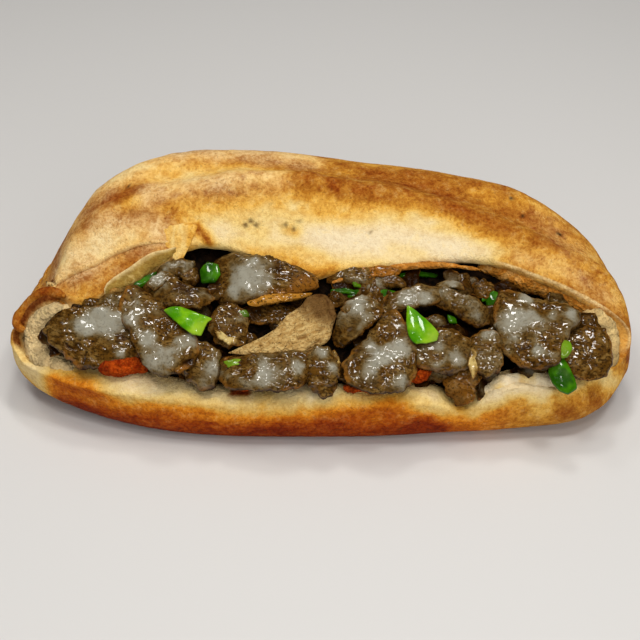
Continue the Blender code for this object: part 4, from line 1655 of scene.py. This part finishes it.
@dataclass
class Slice:
    """Piece of the filling: a thin slab with a free outline that stands for its CAD node."""

    node: str
    outline: Plan
    proud: float
    thick: float
    turn: float
    curl: float
    cover: Cover = Cover.FILM
    fibre: float = 0.45
    warp: float = 0.8
    browning_and_painted_light: tuple[float, float, float] = (0.0, 0.0, 0.0)
    ragged: float = 0.8
    tilt: float = 0.2
    flatness: float = 0.66
    browned: float = 0.0
    sharp: float = 0.7
    spokes: int = 120
    levels: int = 34
    under: int = 10

    def build(self, heap: Heap, seed: int, slot: str, material: Material) -> Object:
        """Build and dress the slice.

        Args:
            heap: the face that it lies on.
            seed: picks its relief.
            slot: not used.
            material: its finish.

        Returns:
            The object, which stands for the CAD node.
        """
        item = self.body(heap, seed).build(material)
        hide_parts(self.node)
        return item

    def rim(self, seed: int) -> tuple[Array, Array, Array, float]:
        """Ragged outline about its middle.

        Args:
            seed: picks its frays.

        Returns:
            The middle, the angles, the radius at each, and their mean.
        """
        corners = np.array(self.outline, dtype=float)
        loose = spline(corners, 240, True)
        taut = resampled(np.concatenate([corners, corners[:1]]), 240, True)
        curve = blend(loose, taut, self.sharp)
        centre = curve.mean(axis=0)
        arms = curve - centre
        angles = np.arctan2(arms[:, 1], arms[:, 0])
        order = np.argsort(angles)
        reach = np.linalg.norm(arms, axis=1)[order]
        around = np.arange(self.spokes) * 2 * math.pi / self.spokes
        wrapped = (around + math.pi) % (2 * math.pi) - math.pi
        radius = np.interp(wrapped, angles[order], reach, period=2 * math.pi)
        mean = float(reach.mean())
        loop = np.stack([np.cos(around) * mean, np.sin(around) * mean, np.full(self.spokes, seed * 3.7)],
                        axis=-1)
        frays = 0.55 * layered(loop, 5.5, seed + 5, 2) + 0.5 * layered(loop, 1.8, seed + 7, 2)
        return centre, around, radius + self.ragged * 1.7 * frays, mean

    def body(self, heap: Heap, seed: int) -> Ringed:
        """Shape the slice.

        Args:
            heap: the face that it lies on.
            seed: picks its relief.

        Returns:
            The body with its cheese, its browning and painted light, and its painted shade.
        """
        centre, around, radius, mean = self.rim(seed)
        half = 0.5 * math.pi
        rise = np.sin(half * np.arange(1, self.levels + 1) / self.levels)
        fall = np.sin(half * np.arange(self.under - 1, 0, -1) / self.under)
        level = np.concatenate([rise, fall])[:, None] * np.ones(self.spokes)
        facing = np.concatenate([np.ones(self.levels), -np.ones(self.under - 1)])[:, None]
        plump = facing * (1.0 - level ** 10) ** 0.5 * (0.74 + 0.26 * (1.0 - level ** 2))
        x = level * (radius * np.cos(around))
        y = level * (radius * np.sin(around))
        z = 0.5 * self.thick * self.flatness * plump
        solid = np.stack([x + centre[0], y + centre[1], 1.6 * z + seed * 5.3], axis=-1)
        torn = self.ragged * 0.9 * layered(solid, 2.6, seed + 90, 2) * smooth(0.75, 1.0, level)
        x = x + torn * np.cos(around)
        y = y + torn * np.sin(around)
        flat = np.stack([x + centre[0], y + centre[1], np.full(x.shape, seed * 11.3)], axis=-1)
        cover = self.covering(flat, level, seed)
        top = smooth(-0.3, 0.55, plump)
        folds = 1.0 - 2.6 * np.abs(layered(flat, 8.0, seed + 9, 2))
        rough = self.relief(flat, cover, seed)
        z = z + (rough + 0.6 * self.warp * (folds - 0.4)) * top
        z = z + 1.3 * self.warp * layered(flat, 12.0, seed + 21, 2)
        x, y, z = self.bend(x, y, z)
        lean = np.random.default_rng(seed).uniform(-self.tilt, self.tilt, 2)
        z = z + lean[0] * x + lean[1] * y
        raised = self.proud + 0.5 * self.thick * (1.0 - self.flatness)
        points = heap.place(x + centre[0], y + centre[1], z + raised)
        # One side of the slice is marked: real browning on steak and cheese, a painted lit side on pepper,
        # and on the toasted slice a brown end that is partly painted shade.
        side = (x * self.browning_and_painted_light[0] + y * self.browning_and_painted_light[1]) / mean
        patchy = layered(flat, 3.0, seed + 33)
        browning_and_painted_light = smooth(0.35, 0.9, side + 0.25 * patchy) * self.browning_and_painted_light[2]
        browning_and_painted_light = np.maximum(browning_and_painted_light, self.browned * (0.8 + 0.4 * patchy))
        fried = smooth(0.84, 0.97, level) * smooth(-0.15, 0.35, layered(flat, 6.0, seed + 35, 2))
        # Painted shade: darker in the valleys of the fibres and folds, on the underside and the sides of
        # the rim, and the deeper a point lies below the heap's face.
        painted_shade = smooth(-0.15, -0.8, rough) * (1.0 - cover)
        painted_shade = painted_shade + 0.7 * smooth(-0.3, -1.0, folds) * (1.0 - 0.6 * cover)
        painted_shade = np.maximum(painted_shade, smooth(0.6, -0.1, plump))
        painted_shade = np.maximum(painted_shade, 0.9 * smooth(-0.8, -4.2, z + raised))
        fields = {"cover": cover, "browning_and_painted_light": np.clip(browning_and_painted_light, 0.0, 1.0), "painted_shade": np.clip(painted_shade, 0.0, 1.0),
                  "fried": fried * smooth(-0.1, 0.3, plump)}
        return capped("look_" + self.node, points, fields)

    def covering(self, flat: Array, level: Array, seed: int) -> Array:
        """Share of cheese on each point.

        Args:
            flat: points in the plane of the slice.
            level: 0 at the middle, 1 at the rim.
            seed: picks the pattern.

        Returns:
            Values from 0 to 1.
        """
        spread = 0.6 * layered(flat, 7.0, seed + 40, 3) + self.cover.value * 0.8 - 0.25 * level ** 6
        for spots, sign in ((CHEESE_POOLS, 0.55), (BARE_PATCHES, -0.8)):
            for x, up, radius in spots:
                away = np.hypot(flat[..., 0] - x, flat[..., 1] - up)
                spread = spread + sign * np.exp(-((away / (radius * 1.25)) ** 2))
        return smooth(-0.05, 1.15, spread)

    def relief(self, flat: Array, cover: Array, seed: int) -> Array:
        """Fibres of bare meat and the soft swell of cheese, millimetres.

        Args:
            flat: points in the plane of the slice.
            cover: share of cheese on each.
            seed: picks the pattern.

        Returns:
            Height above the plain slab.
        """
        grain = math.radians(self.turn)
        along = flat[..., 0] * math.cos(grain) + flat[..., 1] * math.sin(grain)
        across = flat[..., 1] * math.cos(grain) - flat[..., 0] * math.sin(grain)
        stretched = np.stack([along * 0.4, across, flat[..., 2]], axis=-1)
        fibres = 0.4 - 1.6 * np.abs(layered(stretched, 2.8, seed + 50, 3))
        crags = 0.35 * layered(flat, 2.4, seed + 60, 2)
        dimples = 0.14 * layered(flat, 1.8, seed + 64, 2) * smooth(0.0, 0.2, self.fibre)
        pools = 0.6 + 0.4 * layered(flat, 6.0, seed + 70, 2)
        seams = smooth(0.14, 0.0, np.abs(layered(flat, 9.0, seed + 80, 3))) * min(1.0, self.fibre * 2.0)
        bare = 1.0 - 0.85 * cover
        return (self.fibre * (fibres + crags) - 0.5 * seams) * bare + 0.8 * cover * pools + dimples

    def bend(self, x: Array, y: Array, z: Array) -> tuple[Array, Array, Array]:
        """Curl the slab along its length.

        Args:
            x: distances along the loaf.
            y: distances up the slope.
            z: heights over the slab's middle.

        Returns:
            The three, bent.
        """
        turn = math.radians(self.turn)
        c, s = math.cos(turn), math.sin(turn)
        along = x * c + y * s
        across = y * c - x * s
        length = max(float(np.ptp(along)), 1.0)
        rate = math.radians(max(self.curl, 2.0)) / length * 2.0
        angle = rate * along
        along = (1.0 / rate + z) * np.sin(angle)
        z = (1.0 / rate + z) * np.cos(angle) - 1.0 / rate
        return along * c - across * s, along * s + across * c, z


@dataclass
class Pepper(Slice):
    """Piece of green pepper: bare, smooth and nearly flat."""

    curl: float = 12.0
    cover: Cover = Cover.BARE
    fibre: float = 0.0
    warp: float = 0.3
    ragged: float = 0.15


@dataclass
class Trimming(Slice):
    """Small strip, crust or cap of cheese on top of the slices."""

    curl: float = 12.0
    cover: Cover = Cover.BLANKET
    fibre: float = 0.2
    ragged: float = 0.5


@dataclass
class Scraps:
    """Small offcuts of steak that fill the gaps between the slices."""

    heap: Heap
    count: int = 110
    seed: int = 20
    first_relief: int = 900
    half_width: float = 100.0
    low_along: tuple[float, ...] = (-100.0, -60.0, -50.0, 56.0, 88.0, 100.0)
    low_up: tuple[float, ...] = (-1.0, -8.0, -17.0, -17.0, -13.0, -6.0)
    high: float = 25.0
    proud: tuple[float, float] = (-6.0, -2.6)
    corners: int = 7
    filmed: float = 0.45

    def build(self, material: Material) -> Object:
        """Scatter the offcuts over the heap and join them.

        Args:
            material: the steak's finish.

        Returns:
            The object.
        """
        draw = np.random.default_rng(self.seed)
        bodies = []
        for number in range(self.count):
            along = self.half_width * (2.0 * (number + draw.uniform(0.2, 0.8)) / self.count - 1.0)
            tall = max(0.0, 1.0 - abs(along / 108.0) ** 3)
            low = float(np.interp(along, self.low_along, self.low_up))
            up = draw.uniform(low, self.high * tall)
            size = draw.uniform((4.0, 2.6), (9.0, 5.0))
            turn = draw.uniform(0.0, math.pi)
            outline = []
            for corner in range(self.corners):
                angle = 2 * math.pi * corner / self.corners
                arm = size * draw.uniform(0.75, 1.2) * np.array([math.cos(angle), math.sin(angle)])
                outline.append((along + arm[0] * math.cos(turn) - arm[1] * math.sin(turn),
                                up + arm[0] * math.sin(turn) + arm[1] * math.cos(turn)))
            cover = Cover.FILM if draw.random() < self.filmed else Cover.BARE
            proud = draw.uniform(*self.proud)
            scrap = Slice("scrap", tuple(outline), proud, draw.uniform(3.0, 4.8), math.degrees(turn),
                          draw.uniform(5, 60), cover, ragged=0.9, tilt=0.45, spokes=40, levels=13, under=5)
            body = scrap.body(self.heap, self.first_relief + number * 7)
            # Painted shade: scraps that lie deep in the heap are darkened.
            shaded = 0.92 * smooth(-2.6, -4.4, np.array(proud))
            body.fields["painted_shade"] = np.maximum(body.fields["painted_shade"], shaded)
            bodies.append(body)
        return joined("steak_scraps", bodies, material)


STEAK = (
    Slice("steak_left_end", ((-101, 1), (-98, 6), (-94, 9), (-86, 10), (-76, 10), (-69, 8), (-66, 1),
        (-66, -8), (-72, -11), (-80, -13), (-86, -13), (-93, -8), (-98, -4)), -1, 7, -6, 10, fibre=0.5),
    Slice("steak_left_back", ((-84, 14), (-77, 17), (-70, 17), (-67, 12), (-70, 9), (-78, 8), (-84, 9)),
        -3, 6, -20, 10),
    Slice("steak_upper_curl", ((-65, 13), (-63, 18), (-59, 21), (-55, 23), (-51, 20), (-47, 18),
        (-40, 18), (-38, 14), (-44, 9), (-51, 9), (-59, 10), (-63, 10)), 1, 7, 12, 40),
    Slice("steak_rear_left", ((-62, 29), (-55, 31), (-47, 30), (-47, 24), (-55, 23), (-62, 24)), -4, 6,
        0, 10),
    Slice("steak_small_left", ((-40, 6), (-38, 10), (-33, 12), (-28, 10), (-26, 4), (-27, -4),
        (-33, -6), (-38, -4), (-41, 1)), -0.5, 5, 10, 20, fibre=0.18),
    Slice("steak_lower_left", ((-51, -7), (-47, -3), (-40, -4), (-36, -7), (-36, -14), (-38, -21),
        (-43, -22), (-48, -18), (-51, -13)), 0, 7, 15, 10),
    Slice("steak_lower_mid", ((-37, -9), (-27, -7), (-14, -8), (-4, -8), (-2, -15), (-6, -22),
        (-15, -24), (-24, -23), (-32, -22), (-38, -17)), 2, 7, -4, 15, Cover.BLANKET, fibre=0.5),
    Slice("steak_shade_mid", ((-29, 12), (-22, 14), (-13, 14), (-6, 12), (-8, 7), (-16, 5), (-26, 6)),
        -5, 6, 0, 10, Cover.BARE),
    Slice("steak_low_small", ((-5, -10), (-2, -7), (3, -8), (7, -13), (7, -19), (5, -25), (1, -26),
        (-4, -22), (-6, -16)), 3, 7, 4, 15),
    Slice("steak_mid_curl", ((4, -1), (6, 6), (10, 11), (15, 14), (20, 13), (24, 10), (23, 6), (19, 2),
        (13, -2), (8, -5), (5, -4)), 1, 7, 48, 40),
    Slice("steak_rear_mid", ((3, 25), (10, 28), (18, 28), (27, 27), (27, 22), (18, 20), (9, 21),
        (3, 22)), -4, 6, -6, 10),
    Slice("steak_strand", ((21, 11), (25, 16), (32, 18), (38, 20), (45, 18), (46, 13), (40, 10),
        (33, 9), (26, 7)), 0, 6, 8, 20),
    Slice("steak_mid_right", ((33, -6), (36, -2), (43, 1), (50, 0), (55, -3), (57, -8), (54, -14),
        (46, -16), (38, -15), (33, -12)), 1, 7, -12, 10),
    Slice("steak_bent_strip", ((40, 18), (44, 20), (50, 16), (58, 13), (64, 9), (63, 5), (58, 3),
        (51, 6), (45, 10), (40, 14)), 0, 7, -24, 45),
    Slice("steak_in_notch", ((46, -13), (51, -12), (57, -13), (58, -18), (55, -24), (51, -26),
        (47, -23), (45, -17)), -2.4, 2.4, 80, 10, fibre=0.25, browning_and_painted_light=(0.3, -0.6, 0.4), ragged=1.5,
        browned=0.3),
    Slice("steak_upright", ((54, -3), (58, 1), (63, 1), (66, -4), (66, -11), (64, -16), (59, -18),
        (55, -14)), 2, 7, -10, 15),
    Slice("steak_right_end", ((87, -4), (92, 1), (98, 4), (105, 3), (107, -4), (106, -11), (104, -16),
        (97, -18), (91, -16), (88, -11)), -2, 6, 12, 4, Cover.BARE, fibre=0.2, warp=0.5, ragged=0.4,
        sharp=1.0),
    Slice("steak_red_left", ((-53, 25), (-50, 28), (-46, 28), (-45, 23), (-47, 20), (-51, 20)), -4, 5,
        20, 10, Cover.BARE, browning_and_painted_light=(0.4, 0.2, 0.6)),
    Slice("steak_red_right", ((57, 20), (60, 23), (64, 22), (65, 17), (62, 15), (58, 16)), -4, 5, 20,
        10, Cover.BARE, browning_and_painted_light=(0.4, 0.2, 0.6)),
)
CHEESE = (
    Slice("cheese_left", ((-71, 18), (-67, 19), (-62, 15), (-56, 9), (-50, 4), (-45, -1), (-43, -6),
        (-45, -13), (-50, -17), (-57, -18), (-62, -15), (-66, -9), (-69, -2), (-72, 4), (-74, 9),
        (-73, 14)), 2, 7, 34, 12, Cover.BLANKET, fibre=0.5, warp=1.0),
    Slice("cheese_centre", ((-40, 30), (-36, 32), (-29, 32), (-20, 30), (-11, 27), (-2, 23), (0, 18),
        (-9, 15), (-20, 14), (-30, 12), (-37, 13), (-40, 18), (-41, 24)), 0, 7, -8, 20, Cover.BLANKET,
        fibre=0.3, browning_and_painted_light=(0.5, -0.9, 0.45)),
    Slice("cheese_mid_right", ((8, -12), (12, -7), (16, -2), (20, 3), (24, 8), (28, 9), (31, 4),
        (34, -3), (35, -11), (34, -19), (29, -24), (21, -25), (14, -24), (9, -19)), 3, 7, -38, 12,
        Cover.BLANKET, fibre=0.4, warp=1.1),
    Slice("cheese_rear_mid", ((16, 24), (20, 26), (26, 25), (32, 22), (32, 19), (26, 19), (19, 20)), -4,
        5, -20, 10, Cover.BLANKET),
    Slice("cheese_right", ((64, 13), (67, 18), (72, 17), (77, 14), (83, 13), (89, 11), (95, 7), (95, 2),
        (91, -1), (88, -8), (85, -14), (79, -16), (71, -14), (66, -8), (64, 0), (63, 8)), 2, 8, 22, 15,
        Cover.BLANKET, fibre=0.6, warp=1.2),
)
PEPPER = (
    Pepper("pepper_left", ((-57.4, 7.9), (-54.5, 8.6), (-50.8, 8.2), (-47.1, 6.7), (-43.5, 5.1),
        (-38.7, 3.6), (-40.5, 2), (-41.5, -0.3), (-42.8, -3), (-46.1, -2.6), (-49.8, 0.1), (-53.6, 3.6),
        (-56.2, 6.3)), 6.5, 3, -22, 24, browning_and_painted_light=(0.6, -0.8, 0.7), ragged=0.1, tilt=0.05),
    Pepper("pepper_dark_left", ((-45, 26), (-42, 29), (-38, 28), (-37, 24), (-39, 21), (-44, 21)), -2,
        4, 10, 20),
    Pepper("pepper_rear_left", ((-74, 19), (-68, 24), (-62, 28), (-60, 27), (-63, 22), (-69, 18)), -3.5,
        4, 30, 10),
    Pepper("pepper_centre", ((31.6, 8.6), (33.4, 7.5), (35.2, 5.9), (37.3, 4), (40.1, 1.6),
        (42.9, -1.8), (42.1, -4.9), (38.4, -6.1), (34.5, -6.4), (32.7, -4.9), (31.7, -3), (31.1, 1.3),
        (31.2, 5.1)), 6.5, 3, 14, 14, browning_and_painted_light=(0.7, -0.5, 0.7), ragged=0.1, tilt=0.05),
    Pepper("pepper_rear_mid", ((7, 18), (14, 19), (22, 19), (29, 18), (29, 15), (21, 14), (13, 15),
        (7, 16)), -4, 4, -4, 10),
    Pepper("pepper_dark_right", ((61, 16), (64, 18), (68, 16), (69, 11), (66, 8), (62, 10)), -3, 4, 30,
        20),
    Pepper("pepper_right", ((82.6, -11.8), (84.8, -10.3), (87.3, -11.1), (88.9, -14.1), (91.1, -19),
        (91.6, -22.4), (88.2, -24.6), (85.4, -23.5), (82.8, -20.5), (81.6, -16.4)), 4, 4, 14, 20, warp=0.5,
        ragged=0.1, tilt=0.05),
)
TRIMMINGS = (
    Trimming("crisp_band", ((4.5, 23.4), (9.3, 25.4), (14.9, 27.5), (24.3, 27.9), (30.6, 26.6),
        (29, 23.8), (19.3, 22.6), (9.3, 21.4)), -2.0, 4, -4, cover=Cover.BARE, fibre=0.4, browned=0.8),
    Trimming("curl_cap", ((-63.8, 18.1), (-62.1, 21.3), (-58.8, 22.9), (-55.2, 22.9), (-52.5, 21.3),
        (-52.4, 18.5), (-56.5, 18.9), (-61.1, 15.7)), 3.0, 3.5, 10),
    Trimming("mid_cap", ((7.6, 8.4), (9.5, 10.8), (14.2, 12), (18.6, 11.2), (20.4, 9.2), (16.7, 8),
        (11.6, 7.7), (9.4, 6.1)), 3.5, 3.5, 10),
    Trimming("rear_cap", ((42.8, 19.9), (47.2, 21.5), (51.6, 20.3), (53.3, 16.7), (48.6, 17.1),
        (44.1, 17.1)), 0.5, 3.5, -20),
    Trimming("fringe", ((-35.4, -9.4), (-30.4, -8.6), (-26.4, -9.4), (-27.4, -11.7), (-33.2, -12.9)),
        -0.5, 3, 0, cover=Cover.FILM, fibre=0.3, browned=0.5),
)
ONION = (
    Trimming("golden_strip", ((-26.9, 12.4), (-21.4, 15.2), (-12.9, 16), (-6.3, 15.6), (-3, 16.4),
        (-4.1, 14.4), (-8.8, 12.8), (-14.7, 11.2), (-21.3, 10.4), (-25.7, 10.8)), 0.8, 4.4, -4,
        cover=Cover.BARE, fibre=0.3, browned=0.85),
    Trimming("onion_rim", ((-38.8, 0.5), (-37.2, -3), (-33.9, -5.3), (-29.6, -6.1), (-26.7, -4.9),
        (-27.8, -2.6), (-31.1, -3.4), (-34.7, -2.2), (-37, 0.8)), 3.0, 2.6, 10, fibre=0.1, ragged=0.4),
    Trimming("onion_left", ((3.6, -8.5), (5.4, -7.8), (7.2, -12), (6.8, -16.1), (5.3, -18.8),
        (3.9, -15)), 3.5, 3, 80, fibre=0.1),
    Trimming("onion_right", ((54.3, -7), (56.5, -5.9), (57.7, -10.4), (56.4, -16.1), (54.5, -19.1),
        (53.3, -13.5)), 3.5, 3, 80, fibre=0.1),
)
PEPPER_BITS = (
    Pepper("bit", ((84.6, -5.3), (87.2, -4.5), (89.7, -5.7), (90.2, -8.7), (88.2, -11.8), (85.3, -12.2),
        (83.7, -9.1)), 6.5, 4.4, 30, ragged=0.1, browned=0.45),
    Pepper("bit", ((46.9, 7.5), (49.4, 6.7), (50.1, 4.3), (47.5, 4.3)), -1.0, 3, 10, ragged=0.2),
    Pepper("bit", ((11.8, 21.8), (14.8, 22.2), (15.5, 19.4), (12.6, 19.4)), -3.0, 3, 20, ragged=0.2,
        browned=0.3),
    Pepper("bit", ((4.1, 19), (9.2, 19.4), (15.1, 17.8), (14.7, 16.2), (8.5, 17), (4.4, 17)),
        -3.5, 3, -5, ragged=0.2),
    Pepper("bit", ((-30.1, 8.6), (-27.2, 9.4), (-26, 7.1), (-28.9, 5.9)), 0.0, 3, 30, ragged=0.2,
        browned=0.4),
    Pepper("bit", ((-35.1, -10.8), (-30.4, -10), (-27.5, -10.4), (-27.8, -12.7), (-33.2, -13.4)), 0.5,
        3, 0, ragged=0.2, browned=0.6),
    Pepper("bit", ((59.5, 18.6), (61.7, 19.4), (62.2, 14.6), (60, 13.8)), -3.0, 3, 80, ragged=0.2),
    Pepper("bit", ((29.7, 26.2), (37.2, 27.4), (44.6, 27), (43.8, 25.4), (35.3, 25), (30, 24.6)),
        -6.5, 3, 0, ragged=0.2),
)
PLEAT_TIP = Slice("pleat_tip", PLEAT, 0.2, 2.4, 90, 20, Cover.BARE, 0.3, 0.4, ragged=0.1,
    tilt=0.0, sharp=0.1)
TOASTED = Slice("slice_tan", ((-35, -7.2), (-28.9, -5.7), (-22.4, -3.4), (-17.4, -0.3), (-13.4, 4),
    (-9.8, 7.5), (-6.6, 9.8), (-5.5, 12.2), (-2.2, 14.5), (1.8, 14.9), (4.8, 11.8), (6.2, 7.1), (5.1, 2),
    (3.6, -3), (-0.7, -7.2), (-7.2, -8.8), (-18, -9.2), (-27, -8.8)), 3, 5, 26, 14, Cover.BARE,
    warp=0.6, browning_and_painted_light=(0.5, 0.8, 1.0), ragged=0.5, tilt=0.0)


# ---- the studio


@dataclass(frozen=True)
class Studio:
    """Floor, soft lights and the camera."""

    target: Point = (0.0006, 0.0062, 0.007)
    elevation: float = 38.0
    distance: float = 0.545
    lens: float = 75.2
    floor_size: float = 6.0
    glint_size: float = 0.2
    glints: tuple[tuple[Point, float], ...] = (
        ((-0.2, -0.24, 0.82), 1.2), ((0.24, -0.12, 0.8), 1.2), ((0.02, 0.22, 0.86), 1.15),
        ((0.04, -0.46, 0.7), 0.7), ((-0.36, 0.12, 0.72), 0.5),
    )
    finish: FloorFinish = FloorFinish()

    def floor(self) -> None:
        """Lay the floor under the loaf."""
        bm = bmesh.new()
        bmesh.ops.create_grid(bm, x_segments=1, y_segments=1, size=self.floor_size)
        mesh = bpy.data.meshes.new("floor")
        bm.to_mesh(mesh)
        bm.free()
        mesh.materials.append(self.finish.material())
        made = linked("floor", mesh)

    def lamp(self, name: str, place: Point, size: float, power: float, colour: Colour) -> None:
        """Hang a square lamp that faces the loaf.

        Args:
            name: the lamp's name.
            place: where it hangs, metres.
            size: its side, metres.
            power: watts.
            colour: its light.
        """
        light = bpy.data.lights.new(name, "AREA")
        light.size = size
        light.energy = power
        light.color = colour
        made = linked(name, light)
        made.visible_glossy = size < self.glint_size
        made.location = place
        made.rotation_euler = (Vector(self.target) - Vector(place)).to_track_quat("-Z", "Y").to_euler()

    def lights(self) -> None:
        """Hang the lamps and set the ambient light."""
        self.lamp("key", (0.02, -0.06, 0.92), 0.5, 1.8, (1.0, 0.975, 0.94))
        self.lamp("front", (0.26, -0.74, 0.4), 0.6, 2.6, (1.0, 0.98, 0.96))
        for number, (place, power) in enumerate(self.glints):
            self.lamp(f"glint_{number}", place, 0.11, power, (1.0, 0.98, 0.95))
        world = bpy.data.worlds.new("studio")
        world.use_nodes = True
        world.node_tree.nodes["Background"].inputs[0].default_value = (1.0, 0.98, 0.95, 1.0)
        world.node_tree.nodes["Background"].inputs[1].default_value = 0.205
        world.cycles_visibility.glossy = False
        bpy.context.scene.world = world
        bpy.context.scene.view_settings.view_transform = "Standard"

    def camera(self) -> None:
        """Set the camera at the photograph's angle."""
        data = bpy.data.cameras.new("camera")
        data.lens = self.lens
        data.sensor_width = 36.0
        data.clip_start = 0.01
        made = linked("camera", data)
        lift = math.radians(self.elevation)
        back = Vector((0.0, -math.cos(lift), math.sin(lift)))
        made.location = Vector(self.target) + back * self.distance
        made.rotation_euler = (-back).to_track_quat("-Z", "Y").to_euler()
        bpy.context.scene.camera = made


def shapes(pieces: tuple[Slice, ...], heap: Heap, first: int) -> list[Ringed]:
    """Shapes of some slices, each with its own seed after the first."""
    return [piece.body(heap, first + SEED_STEP * number) for number, piece in enumerate(pieces)]


def build_filling(heap: Heap) -> None:
    """Build every slice of the filling.

    Args:
        heap: the face that they lie on.
    """
    steak = SlabFinish("steak").material()
    cheese = SlabFinish("melted_cheese").material()
    bright = PepperFinish("green_pepper", (0.055, 0.23, 0.002), (0.17, 0.4, 0.004)).material()
    # A darker copy of the pepper's finish is painted shade, used for the pieces that lie deep in the heap
    # and for the small bits.
    shaded = PepperFinish("painted_shade_green_pepper", (0.012, 0.065, 0.001), (0.045, 0.17, 0.002)).material()
    for number, piece in enumerate(STEAK):
        piece.build(heap, SEED_STEP * number + 1, "steak", steak)
    for number, piece in enumerate(CHEESE):
        piece.build(heap, SEED_STEP * number + 301, "melted_cheese", cheese)
    for number, piece in enumerate(PEPPER):
        finish = bright if piece.proud > 5 else shaded
        piece.build(heap, SEED_STEP * number + 501, "green_pepper", finish)
    Scraps(heap).build(steak)
    joined("trimmings", shapes(TRIMMINGS, heap, 401), cheese)
    onion = SlabFinish("onion", cheese=(0.62, 0.5, 0.2), thin_cheese=(0.42, 0.26, 0.07),
                       browned=(0.62, 0.27, 0.03)).material()
    joined("onion_strips", shapes(ONION, heap, 451), onion)
    joined("pepper_bits", shapes(PEPPER_BITS, heap, 601), shaded)
    TOASTED.build(heap, 701, "toasted_slice", SliceFinish().material())


def build_folds(bread: Object, baking: Baking) -> None:
    """Lay the folds and rolls of dough on the crust.

    Args:
        bread: the crust.
        baking: where the oven coloured it.
    """
    crust = surface_of(bread)
    material = bread.data.materials[0]
    DoughFold("left_fold", STEP_LINE, 20.0, 1.7, baking, -0.2).build(crust, material)
    lobe = DoughFold("pale_lobe", LOBE_LINE, 10.0, 0.8, baking, tone=(0.74, 0.58, 0.29), side=-1.0)
    lobe.build(crust, material)
    DoughRoll("left_roll", LEFT_ROLL, 2.3, 0.7).build(baking, material, crust)
    for roll in MOUTH_ROLLS:
        roll.build(baking, material)
    seared = [DoughRoll("seared", path, radius, crumb=1.0, lumps=1.1, tone=(0.36, 0.05, 0.003))
              for path, radius in SEARED]
    joined("seared_crumbs", [roll.body(baking) for roll in seared], material)
    body = PLEAT_TIP.body(Heap((-54.0, -15.0, 57.5), 31.0), 41)
    streaks = 0.25 + 0.24 * layered(body.rings * np.array([1.0, 0.25, 0.25]), 3.0, 92, 3)
    body.fields = {"tint": baking.tint(streaks), "toast": streaks, "crumb": np.zeros(streaks.shape)}
    body.name = "pleat_tip"
    made = body.build(material)


def main() -> None:
    """Build the stromboli and its studio."""
    logging.basicConfig(level=logging.INFO, format="%(name)s: %(message)s")
    loaf = Loaf()
    baking = Baking()
    heap = Heap()
    bread = Bread(loaf, baking).build()
    build_folds(bread, baking)
    Core(loaf, heap).build()
    build_filling(heap)
    studio = Studio()
    studio.floor()
    studio.lights()
    studio.camera()


if __name__ == "__main__":
    main()
